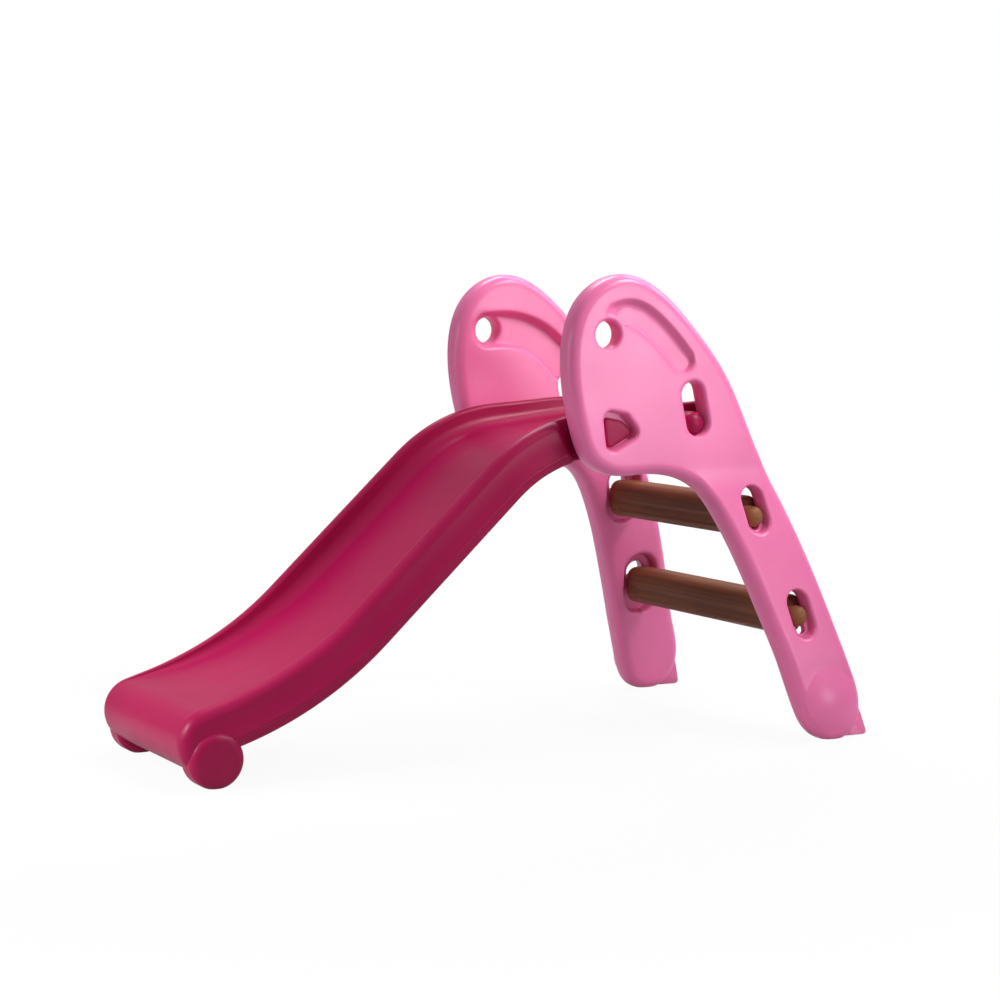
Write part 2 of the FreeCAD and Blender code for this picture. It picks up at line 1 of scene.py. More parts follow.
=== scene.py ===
"""Toddler slide: two moulded side panels, a chute hooked between them and two rungs."""

import math
from types import SimpleNamespace

import bmesh
import bpy
import numpy as np
from bpy.props import FloatProperty, FloatVectorProperty, IntProperty, PointerProperty
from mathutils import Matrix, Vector, kdtree
from mathutils.geometry import delaunay_2d_cdt


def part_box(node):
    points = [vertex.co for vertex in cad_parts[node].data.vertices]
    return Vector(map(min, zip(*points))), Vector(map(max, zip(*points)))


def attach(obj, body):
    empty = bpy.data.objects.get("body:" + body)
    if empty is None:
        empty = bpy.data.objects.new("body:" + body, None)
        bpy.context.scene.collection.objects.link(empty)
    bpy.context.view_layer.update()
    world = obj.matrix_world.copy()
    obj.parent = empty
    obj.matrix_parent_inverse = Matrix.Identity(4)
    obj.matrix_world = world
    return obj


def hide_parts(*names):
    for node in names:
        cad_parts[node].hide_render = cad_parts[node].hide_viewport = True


bl_info = {
    "name": "Toddler slide",
    "version": (1, 0, 0),
    "blender": (4, 5, 0),
    "location": "View3D > Sidebar > Slide",
    "description": "Builds a toddler slide and its stage around the packed frame",
    "category": "Object",
}

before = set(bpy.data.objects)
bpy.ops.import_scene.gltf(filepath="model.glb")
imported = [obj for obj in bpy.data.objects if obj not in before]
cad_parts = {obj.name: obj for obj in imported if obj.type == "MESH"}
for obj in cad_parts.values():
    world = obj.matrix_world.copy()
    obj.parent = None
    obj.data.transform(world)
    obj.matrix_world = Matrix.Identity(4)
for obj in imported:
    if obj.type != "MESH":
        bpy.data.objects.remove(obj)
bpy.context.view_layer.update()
MM = 0.001


# --- settings ----------------------------------------------------------------
def length(name, description, millimetres):
    return FloatProperty(
        name=name, description=description, default=millimetres * MM, unit="LENGTH", precision=4
    )


def angle(name, description, degrees):
    return FloatProperty(
        name=name, description=description, default=math.radians(degrees), subtype="ANGLE"
    )


def colour(name, description, red, green, blue):
    return FloatVectorProperty(
        name=name, description=description, default=(red, green, blue), subtype="COLOR", min=0, max=1
    )


class PanelSizes(bpy.types.PropertyGroup):
    """Sizes of the two side panels"""

    thickness: length("Thickness", "From skin to skin", 42)
    rim: length("Rim rounding", "Radius of the panel's rim", 15)
    seam: length("Seam height", "Height of the mould's parting line", 0.28)
    head_half: length("Head spacing", "Middle of a head from the plane of symmetry", 167)
    bend_z: length("Bend height", "Below this the leg splays out", 378)
    shin_z: length("Shin height", "Below this it splays less", 121)
    splay: angle("Splay", "Lean of the leg", 13.9)
    shin_splay: angle("Shin splay", "Lean of the shin", 9.2)
    outer_recess: length("Outer recess", "Depth of the band on the outer face", 7)
    inner_recess: length("Inner recess", "Depth of the band on the inner face", 13)
    slot_depth: length("Slot depth", "Depth of the slots on the outer face", 15)
    pocket_depth: length("Pocket depth", "Depth of the rung pockets", 17)
    dome: length("Foot dome", "Height of the bulge on the foot", 8.6)
    mesh_step: length("Mesh step", "Spacing of the points on the open faces", 7)


class ChuteSizes(bpy.types.PropertyGroup):
    """Sizes of the chute"""

    half: length("Half width", "Outer face of a rail from the plane of symmetry", 155)
    neck_half: length("Neck half width", "The same between the panels", 145.2)
    inner_half: length("Channel half width", "Inner face of a rail", 133)
    lip: length("Lip rounding", "Inner upper edge of the rails", 7)
    edge: length("Rail rounding", "Outer upper edge of the rails", 14)
    fillet: length("Floor rounding", "From the floor to the rails", 23)
    depth: length("Channel depth", "Floor below the rail tops on the slope", 38)
    band: length("Band", "From rail top to underside", 64)
    nose: length("Nose radius", "Radius of the roll at the end", 45)
    nose_edge: length("Nose rounding", "Rounding of the roll's ends", 17)
    rest: length("Rest radius", "Radius of the rests below the nose", 38.5)
    seam: length("Seam height", "Height of the mould's parting lines", 0.3)
    spacing: length("Mesh step", "Spacing of the stations along the chute", 6)


class RungSizes(bpy.types.PropertyGroup):
    """Sizes of the rungs"""

    corner: length("Corner rounding", "Rounding along a rung", 15)
    end: length("End rounding", "Rounding of the ends of a rung's body", 13)
    plug: length("Plug radius", "Radius of the end plugs", 15)
    plug_length: length("Plug length", "Part of the length at each end that is plug", 30)
    tip: length("Tip dome", "Height of a plug's domed tip", 12)
    flute: length("Flute", "Depth of the long shallow hollows along a rung", 1.5)
    around: IntProperty(name="Points around", description="Points round a rung", default=96, min=24)


class SlideColours(bpy.types.PropertyGroup):
    """Colours of the plastics and the stage"""

    panel: colour("Panels", "Light pink plastic", 0.92, 0.195, 0.43)
    chute: colour("Chute", "Raspberry plastic", 0.345, 0.004, 0.062)
    rung: colour("Rungs", "Brown plastic", 0.25, 0.088, 0.034)
    rung_dark: colour("Rung streaks", "Darker streaks in the brown", 0.16, 0.055, 0.025)
    floor: colour("Floor", "Pale floor", 0.55, 0.55, 0.55)
    lamp: FloatProperty(name="Lamp level", description="Strength of every lamp", default=1.0, min=0)


# --- outlines and numbers, millimetres in the side view ------------------------
PANEL_OUTLINE = [
    (143, 668), (200, 646), (256, 595), (311, 527), (356, 439), (399.5, 350), (457, 200),
    (487, 105), (499, 47), (484, 11.5), (449, -3), (414, 11.5), (395, 47), (377, 105),
    (345, 200), (291.5, 328), (263.5, 365), (219.5, 384), (174, 388), (121, 389), (85, 408),
    (64, 453), (49, 543), (69, 628), (99, 656),
]
# rounded hulls: their corners and their radius
HAND_HOLE = ([(109, 585)], 19.5)
LUG = ([(119, 434.5), (146.5, 449), (134, 457.5), (115, 461)], 7)
LUG_HOLE = (LUG[0], 7.3)
LUG_POCKET = ([(119, 434.5), (146.5, 449), (134, 463.5), (115, 467)], 12)
POCKET_EDGE = 4
LUG_FACE = 179
# each face's band recess, how far its wall reaches out and in, its guides, and the edges of its
# slots and holes
OUTER = SimpleNamespace(
    band=[(123, 611), (146, 615), (181, 599), (232, 549)], band_half=18, band_soft=(3.0, 3.0),
    band_rings=(3.2, 2.3, 1.4, 0.5, -0.5, -1.5, -2.5, -4, -6, -8),
    slot_edge=5, draft=1.2, below=0, hand_edge=4.5, hand_rings=[6.5, 8, 9.2, 10.5], lug_edge=0.8,
)
INNER = SimpleNamespace(
    band=[(103, 585), (143, 585), (189, 570), (237, 529)], band_half=27, band_soft=(2, 8),
    band_rings=(3, 1, -1, -3, -5, -7, -9),
    slot_edge=6, draft=2, below=6, hand_edge=5, hand_rings=[8], lug_edge=2,
)
# the outer band's wall reaches further in above the middle, and turns over within this height of it
BAND_SOFTER = 5.4
BAND_TURN = 5
# where that recess starts, from the hand hole's rim and along X, and the run to its full depth
HAND_FADE = (6.5, 4)
FRONT_FADE = (97, 30)
TILT = math.radians(12)
SLOT_UP = np.array([-math.sin(TILT), math.cos(TILT)])
# middle of the plug, its radius, how far the slot's centres lie above and below it, pocket radius
PLUG_SLOTS = [
    ((259, 458), 16.5, 42, 0, 23.5),
    ((354, 321), 15, 27, 5, 29),
    ((408.5, 177), 15, 21, 13, 29),
]
SLOT_R = 18
THROAT_GAP = 0.6
THROAT_EDGE = 1.2
SEAT_LIFT = THROAT_GAP - 0.3
RELIEF_R = 7
BEND_REACH = 19
SHIN_REACH = 8
DOME = ((444, 58), 45)
HEEL = [(449, 1), (508, 0), (512.5, 1.5), (513.8, 5), (507, 30), (498, 55), (470, 58), (449, 50)]
HEEL_T = 10
HEEL_EDGE = 1.5
# spacing of the points along outlines, holes, walls, fine guides, band middles and the chute's lines
OUTLINE_STEP = 4
HOLE_STEP = 1.8
RING_STEP = 2.2
FINE_STEP = 1.5
BAND_STEP = 3
LINE_STEP = 0.5
FLOOR_STEP = 0.1
ARC_STEPS = 24
# least distance to other points of the first two guides, of the others and of the grid
GAPS = (0.33, 0.8, 4)
RAIL_CORNERS = [(288, 487.5), (14, 469.5), (-338, 146.5)]
CREST_R = 260
TOE_R = 480
# the channel's depth at the rail corners and the nose, as shares of the full one
DEPTH_SHARES = [0.632, 1, 0.947, 0.04]
# the floor lies within this distance of the rail tops
FLOOR_NEAR = 80
NOSE = (-468.5, 60.5)
NOSE_STEPS = 44
# close stations where an end or a shoulder is rounded; the even ones follow
END_STATIONS = (0.12, 0.5, 1, 2, 3.5, 5.5)
FIRST_EVEN = 6
# edge rounding of the underside, at most, and of the rails between the panels
LOW_EDGE = 6
NECK_EDGE = 5
# rounding of the rear end and of the shoulders, seen from above
REAR_ROUND = 3
SHOULDER_ROUND = 8
# the share of that rounding which the rail's edge loses
EDGE_LOSS = 0.3
# the rails' outer edge drops at a shoulder by this share of a rounding of this radius
SHOULDER_DROP = (0.8, 14)
# where the rails' edge starts to turn into the nose's, and over which length
NOSE_FADE = (395, 60)
# how far down the side walls the fine parting lines run, as shares
WALL_SEAMS = (0.77, 0.87)
# rows of points across a parting line, as shares or in millimetres, and whether each is raised
WALL_SEAM_ROWS = ((-0.011, 0), (-0.004, 1), (0.004, 1), (0.011, 0))
RIM_SEAM_ROWS = ((1.1, 0), (0.35, 1), (-0.35, 1), (-1.1, 0))
# where a shoulder's leaning end face meets the rail tops and the underside
SHOULDER_TOP = 50.5
SHOULDER_LOW = 77.5
# middle, and how far from the plane of symmetry it starts and ends
REST = ((-464, 37), 118, 162)
REST_CROWN = 1.2
# middle, radius and tip
REAR_PLUG = ((259, 458), 16.5, 186)
INSIDE_WALL = 141

# a rung's hollow in metres: from its end to the bar's, below the middle, and half its height
FLUTE_END = 0.04
FLUTE_DROP = 0.009
FLUTE_HALF = 0.0085
# how much more red, green and blue the plugs have than the rungs
GOLDEN_END = (1.2, 1.45, 1.5)
# how white the background is in a mirror
MIRRORED = 0.2
# half the floor's side, in metres
FLOOR = 8
# name, place, target, size, power, full angle of the beam, colour
LAMPS = [
    ("key", (0.9, -1.0, 1.6), (0.15, -0.1, 0.55), 0.6, 2.35, 56, (1, 0.96, 0.96)),
    ("front", (1.5, -2.5, 0.6), (0.15, -0.1, 0.6), 0.6, 0.95, 44, (0.93, 0.9, 1)),
    ("top", (0.4, 0.9, 2.2), (0.1, 0, 0.4), 0.8, 22, 180, (0.9, 0.9, 1)),
    ("nose", (-1.55, -0.15, 0.8), (-0.45, -0.02, 0.08), 0.5, 1.55, 50, (0.97, 0.9, 1)),
    ("side", (-2.4, 0.6, 0.75), (-0.2, 0, 0.3), 1.2, 9, 180, (0.95, 0.9, 1)),
    ("rim", (1.1, 0.15, 1.9), (0.2, -0.1, 0.55), 0.6, 8, 180, (0.9, 0.85, 1)),
    ("edge", (1.75, -0.35, 1.5), (0.2, -0.15, 0.5), 0.6, 10, 180, (0.92, 0.86, 1)),
]


# --- curves and distances ------------------------------------------------------
def unit(way):
    """A vector at length 1."""
    return way / np.linalg.norm(way)


def normals_of(line, closed=False):
    """Unit normals on the left of a polyline."""
    if closed:
        along = np.roll(line, -1, axis=0) - np.roll(line, 1, axis=0)
    else:
        along = np.gradient(line, axis=0)
    along /= np.linalg.norm(along, axis=1)[:, None]
    return np.column_stack([-along[:, 1], along[:, 0]])


def spline(points, spacing, closed):
    """Points at an even spacing along a smooth curve through the given ones."""
    p = np.array(points, float)
    if closed:
        p = np.vstack([p, p[:1]])
    span = np.linalg.norm(np.diff(p, axis=0), axis=1)
    slope = np.diff(p, axis=0) / span[:, None]
    count = len(span)
    size = count if closed else count + 1
    matrix = np.zeros((size, size))
    right = np.zeros((size, 2))
    for i in range(size):
        if not closed and i in (0, count):
            matrix[i, i] = 1
            continue
        matrix[i, (i - 1) % size] += span[i - 1]
        matrix[i, i] += 2 * (span[i - 1] + span[i])
        matrix[i, (i + 1) % size] += span[i]
        right[i] = 6 * (slope[i] - slope[i - 1])
    bend = np.linalg.solve(matrix, right)
    if closed:
        bend = np.vstack([bend, bend[:1]])
    fine = []
    for i, h in enumerate(span):
        t = np.linspace(0, h, 40, endpoint=False)[:, None]
        u = h - t
        curved = bend[i] * u**3 / (6 * h) + bend[i + 1] * t**3 / (6 * h)
        straight = (p[i] / h - bend[i] * h / 6) * u
        fine.append(curved + straight + (p[i + 1] / h - bend[i + 1] * h / 6) * t)
    fine = np.vstack(fine + [p[-1:]])
    return resample(fine, spacing, closed)


def resample(line, spacing, closed, count=None):
    """A polyline's points at an even spacing; a closed one comes without its last point."""
    run = np.concatenate([[0], np.cumsum(np.linalg.norm(np.diff(line, axis=0), axis=1))])
    count = count or max(2, round(run[-1] / spacing))
    at = np.linspace(0, run[-1], count + 1)[:-1 if closed else None]
    return np.column_stack([np.interp(at, run, line[:, k]) for k in (0, 1)])


def shifted(points, offsets):
    """Corners of a polyline moved to its left by one distance per corner."""
    runs = [unit(b - a) for a, b in zip(points, points[1:])]
    out = []
    for k, corner in enumerate(points):
        normals = [np.array([-run[1], run[0]]) for run in runs[max(k - 1, 0):k + 1]]
        both = unit(np.sum(normals, axis=0))
        out.append(corner + both * offsets[k] / (both @ normals[0]))
    return out


def rounded_line(points, radii, spacing):
    """Polyline whose inner corners are arcs."""
    out = [np.array(points[0], float)]
    for i, radius in enumerate(radii, 1):
        a, b, c = (np.array(points[k], float) for k in (i - 1, i, i + 1))
        before = unit(b - a)
        after = unit(c - b)
        turn = math.acos(max(-1, min(1, before @ after)))
        left = before[0] * after[1] - before[1] * after[0] > 0
        normal = np.array([-before[1], before[0]]) * (1 if left else -1)
        start = b - before * radius * math.tan(turn / 2)
        centre = start + normal * radius
        for k in range(ARC_STEPS + 1):
            w = turn * k / ARC_STEPS
            out.append(centre - normal * radius * math.cos(w) + before * radius * math.sin(w))
    out.append(np.array(points[-1], float))
    return resample(np.array(out), spacing, False)


def line_distance(points, line, closed):
    """Distance from each point to a polyline."""
    a = np.asarray(line, float)
    b = np.roll(a, -1, axis=0) if closed else a[1:]
    a = a if closed else a[:-1]
    run = b - a
    size = np.maximum((run**2).sum(1), 1e-12)
    out = np.empty(len(points))
    for k in range(0, len(points), 2000):
        off = points[k:k + 2000, None, :] - a[None]
        t = np.clip((off * run[None]).sum(2) / size[None], 0, 1)
        out[k:k + 2000] = np.sqrt(((off - t[..., None] * run[None]) ** 2).sum(2)).min(1)
    return out


def inside(points, line):
    """Which points lie inside a closed polyline."""
    a = np.asarray(line, float)
    b = np.roll(a, -1, axis=0)
    out = np.zeros(len(points), bool)
    for k in range(0, len(points), 2000):
        x = points[k:k + 2000, 0:1]
        y = points[k:k + 2000, 1:2]
        crosses = (a[None, :, 1] > y) != (b[None, :, 1] > y)
        rise = np.where(a[:, 1] == b[:, 1], 1e-12, b[:, 1] - a[:, 1])
        at = a[:, 0] + (y - a[:, 1]) * (b[:, 0] - a[:, 0]) / rise
        out[k:k + 2000] = (crosses & (x < at)).sum(1) % 2 == 1
    return out


def hull_distance(points, corners, radius):
    """Signed distance to a rounded hull of one, two or three corners; negative inside."""
    if len(corners) == 1:
        return np.linalg.norm(points - np.array(corners[0]), axis=1) - radius
    gap = line_distance(points, corners, len(corners) > 2)
    if len(corners) > 2:
        gap = np.where(inside(points, corners), -gap, gap)
    return gap - radius


def hull_ring(corners, radius, spacing):
    """The outline of a rounded hull whose corners run anticlockwise."""
    steps = max(3, round(2 * math.pi * radius / spacing / len(corners)))
    out = []
    for i, corner in enumerate(corners):
        if len(corners) == 1:
            first, turn = 0, 2 * math.pi * (1 - 1 / (4 * steps))
            steps = 4 * steps
        else:
            before = np.subtract(corner, corners[i - 1])
            after = np.subtract(corners[(i + 1) % len(corners)], corner)
            first = math.atan2(-before[0], before[1])
            turn = (math.atan2(-after[0], after[1]) - first) % (2 * math.pi)
        for k in range(steps + (len(corners) > 1)):
            w = first + turn * k / steps
            out.append((corner[0] + radius * math.cos(w), corner[1] + radius * math.sin(w)))
    line = np.array(out + out[:1], float)
    return resample(line, spacing, True)


def slot_corners(slot, extra):
    """Lower and upper centres of a plug's slot, the lower one moved down by extra."""
    middle, _, rise, drop, _ = slot
    return [tuple(middle - SLOT_UP * (drop + extra)), tuple(middle + SLOT_UP * rise)]


def throat_shapes(slot):
    """The way through the web as rounded hulls: the seat's long hole and the relief below it."""
    (x, z), plug_r, rise, drop, _ = slot
    seat = np.array([x, z + SEAT_LIFT])
    shapes = [([tuple(seat), tuple(seat + SLOT_UP * rise)], plug_r + THROAT_GAP)]
    if drop > SLOT_R - plug_r:
        low = seat - SLOT_UP * (drop + SLOT_R - RELIEF_R - 3)
        shapes.append(([tuple(low), tuple(seat)], RELIEF_R))
    return shapes


def throat_ring(slot, offset, spacing):
    """Outline of the way through the web, moved outwards by offset."""
    shapes = throat_shapes(slot)
    (seat, top), radius = shapes[0]
    radius += offset
    if len(shapes) == 1:
        return hull_ring([seat, top], radius, spacing)
    low = np.array(shapes[1][0][0])
    narrow = RELIEF_R + offset
    up = unit(np.subtract(top, seat))
    side = np.array([up[1], -up[0]])
    meet = math.asin(narrow / radius)
    out = []
    for centre, r, start, end in (
        (np.array(top), radius, 0, math.pi),
        (np.array(seat), radius, math.pi, 1.5 * math.pi - meet),
        (low, narrow, math.pi, 2 * math.pi),
        (np.array(seat), radius, 1.5 * math.pi + meet, 2 * math.pi),
    ):
        for k in range(ARC_STEPS + 1):
            w = start + (end - start) * k / ARC_STEPS
            out.append(centre + side * math.cos(w) * r + up * math.sin(w) * r)
    return resample(np.array(out + out[:1]), spacing, True)


# --- shape of a panel's faces ----------------------------------------------------
def slot_wall(slot, face):
    """Centres and radius of a plug's slot on the outer face, or of its pocket on the inner one."""
    return slot_corners(slot, face.below), SLOT_R if face is OUTER else slot[4]


def edge_drop(gap, radius):
    """How far a rounded edge lies below its face, at a distance from the edge."""
    d = np.clip(gap, 0, radius)
    return radius - np.sqrt(np.maximum(radius**2 - (radius - d) ** 2, 0))


def smooth(share):
    """Smooth rise from 0 to 1."""
    t = np.clip(share, 0, 1)
    return t * t * (3 - 2 * t)


def faded(value, start, run):
    """Smooth rise from 0 to 1 over a run."""
    return smooth((value - start) / run)


def soft_step(gap, depth, outside, within):
    """Smooth wall of a recess; gap is the signed distance to its edge, negative inside."""
    return depth * smooth((outside - gap) / (outside + within))


def step_drop(gap, radius, depth, draft):
    """Rounded edge and nearly upright wall of a stepped slot."""
    wall = radius + (depth - radius) * np.clip(-gap / draft, 0, 1)
    return np.where(gap > 0, edge_drop(gap, radius), wall)


def bent(z, at, reach, slope_above, slope_below):
    """Offset of a line that changes its slope smoothly round a height."""
    t = z - at
    turn = (slope_below - slope_above) / (4 * reach) * (t * t + reach**2)
    mixed = -(slope_above + slope_below) / 2 * t + turn
    return np.where(t > reach, -slope_above * t, np.where(t < -reach, -slope_below * t, mixed))


def middle_layer(z, sizes):
    """Distance of a panel's middle layer from the plane of symmetry, and 1/cos of its lean."""
    steep = math.tan(sizes.splay)
    shin = math.tan(sizes.shin_splay)
    bend_z = sizes.bend_z / MM
    shin_z = sizes.shin_z / MM
    y = sizes.head_half / MM + bent(z, bend_z, BEND_REACH, 0, steep)
    y = y + bent(z, shin_z, SHIN_REACH, 0, shin - steep)
    heights = [shin_z - SHIN_REACH, shin_z + SHIN_REACH, bend_z - BEND_REACH, bend_z + BEND_REACH]
    return y, np.sqrt(1 + np.interp(z, heights, [shin, steep, steep, 0]) ** 2)


def face_height(p, rim_gap, face, sizes):
    """Height of a face above the middle layer, counted outwards from it."""
    drop = edge_drop(rim_gap, sizes.rim / MM)
    middle = spline(face.band, BAND_STEP, False)
    band = line_distance(p, middle, False) - face.band_half
    hand = hull_distance(p, *HAND_HOLE)
    outside, within = face.band_soft
    if face is OUTER:
        depth = sizes.slot_depth / MM
        # steep below the band's middle and soft above; shallower by the hand hole and at the front
        above = p[:, 1] - np.interp(p[:, 0], middle[:, 0], middle[:, 1])
        upper = smooth((above + BAND_TURN) / (2 * BAND_TURN))
        recess = soft_step(band, sizes.outer_recess / MM, outside, within + BAND_SOFTER * upper)
        recess = recess * faded(hand, *HAND_FADE) * faded(p[:, 0], *FRONT_FADE)
    else:
        depth = sizes.pocket_depth / MM
        recess = soft_step(band, sizes.inner_recess / MM, outside, within)
    drop = np.maximum(drop, recess)
    for slot in PLUG_SLOTS:
        gap = hull_distance(p, *slot_wall(slot, face))
        drop = np.maximum(drop, step_drop(gap, face.slot_edge, depth, face.draft))
        throat = np.minimum.reduce([hull_distance(p, *shape) for shape in throat_shapes(slot)])
        drop = drop + edge_drop(throat, THROAT_EDGE)
    if face is OUTER:
        pocket = hull_distance(p, *LUG_POCKET)
        drop = np.maximum(drop, step_drop(pocket, POCKET_EDGE, depth, face.draft))
    lug = hull_distance(p, *LUG_HOLE)
    drop = drop + edge_drop(hand, face.hand_edge) + edge_drop(lug, face.lug_edge)
    height = sizes.thickness / MM / 2 - drop
    if face is INNER:
        return height
    (x, z), reach = DOME
    rise = sizes.dome / MM
    ball = (reach**2 + rise**2) / (2 * rise)
    far = np.hypot(p[:, 0] - x, p[:, 1] - z)
    bulge = sizes.thickness / MM / 2 + np.sqrt(np.maximum(ball**2 - far**2, 0)) - (ball - rise)
    return np.where(far < reach, np.maximum(height, bulge), height)


def rounding(radius, steps):
    """Offsets that follow a rounded edge evenly."""
    return [radius * (1 - math.cos(math.pi / 2 * k / steps)) for k in range(1, steps + 1)]


def step_rings(corners, radius, edge, draft):
    """Two outlines of a stepped slot's wall, and guides that follow its rounded edge."""
    offsets = rounding(edge, 4) + [edge + 2.5]
    walls = [hull_ring(corners, radius - d, RING_STEP) for d in (0, draft)]
    return walls, [hull_ring(corners, radius + d, RING_STEP) for d in offsets]


def face_rings(face):
    """Step walls, kept as edges, and the guide points that follow every rounding."""
    (hand, hand_r), (lug, lug_r) = HAND_HOLE, LUG_HOLE
    offsets = rounding(face.hand_edge, 4) + face.hand_rings
    guides = [hull_ring(hand, hand_r + d, RING_STEP) for d in offsets]
    guides += [hull_ring(lug, lug_r + d, FINE_STEP) for d in (0.3, 0.8, 2)]
    middle = spline(face.band, BAND_STEP, False)
    guides += [band_ring(middle, face.band_half + d) for d in face.band_rings]
    walls = []
    for slot in PLUG_SLOTS:
        guides += [throat_ring(slot, d, FINE_STEP) for d in (0.35, THROAT_EDGE)]
        wall, rings = step_rings(*slot_wall(slot, face), face.slot_edge, face.draft)
        walls += wall
        guides += rings
    if face is OUTER:
        wall, rings = step_rings(*LUG_POCKET, POCKET_EDGE, face.draft)
        centre, reach = DOME
        walls += wall
        guides += rings + [hull_ring([centre], reach - d, 3) for d in (0.01, 2, 8, 16, 25, 34, -0.6)]
    return walls, guides


def band_ring(middle, half):
    """Points all round a band's middle line at a distance."""
    side = normals_of(middle)
    points = [middle + side * half, middle - side * half]
    for end, way in ((0, -1), (-1, 1)):
        first = math.atan2(-side[end, 0] * way, side[end, 1] * way)
        for w in np.linspace(-math.pi / 2, math.pi / 2, max(4, round(half))):
            way_out = np.array([[math.cos(first + w), math.sin(first + w)]])
            points.append(middle[end:][:1] + half * way_out)
    return np.vstack(points)


def sheet(outline, holes, face, sizes):
    """Points and triangles of one face in the side view, the outline and holes first."""
    rim = sizes.rim / MM
    walls, guides = face_rings(face)
    points = []
    edges = []
    for ring in [outline] + holes + walls:
        first = len(points)
        points += [tuple(p) for p in ring]
        edges += [(first + k, first + (k + 1) % len(ring)) for k in range(len(ring))]
    inward = -normals_of(outline, True)
    guides = [outline + inward * d for d in rounding(rim, 7) + [rim + 3]] + guides
    step = sizes.mesh_step / MM
    low = outline.min(0)
    high = outline.max(0)
    grid = np.mgrid[low[0]:high[0]:step, low[1]:high[1]:step].reshape(2, -1).T
    groups = [(ring, GAPS[0] if k < 2 else GAPS[1]) for k, ring in enumerate(guides)]
    for group, gap in groups + [(grid, GAPS[2])]:
        tree = kdtree.KDTree(len(points))
        for k, p in enumerate(points):
            tree.insert((p[0], p[1], 0), k)
        tree.balance()
        group = group[inside(group, outline)]
        points += [tuple(p) for p in group if tree.find((p[0], p[1], 0))[2] > gap]
    result = delaunay_2d_cdt([Vector(p) for p in points], edges, [], 0, 1e-4)
    spots = np.array([tuple(v) for v in result[0]])
    merged = {source: k for k, sources in enumerate(result[3]) for source in sources}
    faces = np.array(result[2])
    middles = spots[faces].mean(1)
    keep = inside(middles, outline)
    for hole in holes:
        keep &= ~inside(middles, hole)
    return spots, faces[keep], [merged[k] for k in range(sum(map(len, [outline] + holes)))]


def bridge(mesh, rings, closed=True):
    """Faces from each ring of points to the next; a ring of one point makes a fan."""
    for a, b in zip(rings, rings[1:]):
        count = max(len(a), len(b))
        for k in range(count if closed else count - 1):
            corners = [a[k % len(a)], a[(k + 1) % len(a)], b[(k + 1) % len(b)], b[k % len(b)]]
            mesh.faces.new(list(dict.fromkeys(corners)))


def panel_mesh(side, sizes):
    """One side panel as a closed mesh; side is 1 for +Y and -1 for -Y."""
    mesh = bmesh.new()
    outline = spline(PANEL_OUTLINE, OUTLINE_STEP, True)
    holes = [hull_ring(*hole, HOLE_STEP) for hole in (HAND_HOLE, LUG_HOLE)]
    holes += [throat_ring(slot, 0, HOLE_STEP) for slot in PLUG_SLOTS]
    sheets = []
    for face, way in ((OUTER, 1), (INNER, -1)):
        spots, faces, fixed = sheet(outline, holes, face, sizes)
        height = way * face_height(spots, line_distance(spots, outline, True), face, sizes)
        verts = {k: mesh.verts.new(place(spots[k], height[k], side, sizes)) for k in np.unique(faces)}
        for corners in faces:
            mesh.faces.new([verts[k] for k in corners])
        sheets.append([verts[k] for k in fixed])
    first = 0
    for ring in [outline] + holes:
        rows = [points[first:first + len(ring)] for points in sheets]
        if ring is outline:
            rows[1:1] = seam_rows(mesh, outline, side, sizes)
        bridge(mesh, rows)
        first += len(ring)
    heel(mesh, side, sizes)
    bmesh.ops.recalc_face_normals(mesh, faces=mesh.faces)
    return mesh


def place(spot, height, side, sizes):
    """Side-view point and height above the middle layer to a place in the frame."""
    y, stretch = middle_layer(spot[1], sizes)
    return Vector((spot[0], side * (y + height * stretch), max(spot[1], 0))) * MM


def seam_rows(mesh, outline, side, sizes):
    """Rows of points across the rim that raise the mould's parting line."""
    outward = normals_of(outline, True)
    rows = []
    for height, proud in RIM_SEAM_ROWS:
        line = outline + outward * proud * sizes.seam / MM * (outline[:, 1:] > 5)
        rows.append([mesh.verts.new(place(p, height, side, sizes)) for p in line])
    return rows


def heel(mesh, side, sizes):
    """Thin fin that squares off the back of the round foot."""
    middle = np.mean(HEEL, axis=0)
    flat = HEEL_T / 2
    rings = []
    straight = flat - HEEL_EDGE
    for inset, height in ((HEEL_EDGE, flat), (0, straight), (0, -straight), (HEEL_EDGE, -flat)):
        ring = [c + unit(middle - c) * inset for c in np.array(HEEL)]
        rings.append([mesh.verts.new(place(p, height, side, sizes)) for p in ring])
    bridge(mesh, rings)
    mesh.faces.new(rings[0])
    mesh.faces.new(reversed(rings[-1]))


# --- node trees --------------------------------------------------------------
class Wire:
    """A node's output that can be counted with; each step adds a Math node to its tree."""

    def __init__(self, socket):
        self.socket = socket

    def maths(self, operation, *others):
        values = dict(enumerate((self, *others)))
        return node(self, "ShaderNodeMath", values, operation=operation)

    def __add__(self, other):
        return self.maths("ADD", other)

    def __sub__(self, other):
        return self.maths("SUBTRACT", other)

    def __rsub__(self, other):
        return node(self, "ShaderNodeMath", {0: other, 1: self}, operation="SUBTRACT")

    def __mul__(self, other):
        return self.maths("MULTIPLY", other)

    def __truediv__(self, other):
        return self.maths("DIVIDE", other)

    def __mod__(self, other):
        return self.maths("MODULO", other)

    def __abs__(self):
        return self.maths("ABSOLUTE")


def node(at, kind, inputs=(), output=0, **settings):
    """Adds a node to a tree, or to the tree of a wire, and returns one of its outputs."""
    tree = at.socket.id_data if isinstance(at, Wire) else at
    made = tree.nodes.new(kind)
    for key, value in settings.items():
        setattr(made, key, value)
    for key, value in dict(inputs).items():
        if isinstance(value, Wire):
            tree.links.new(value.socket, made.inputs[key])
        else:
            made.inputs[key].default_value = value
    return Wire(made.outputs[output])


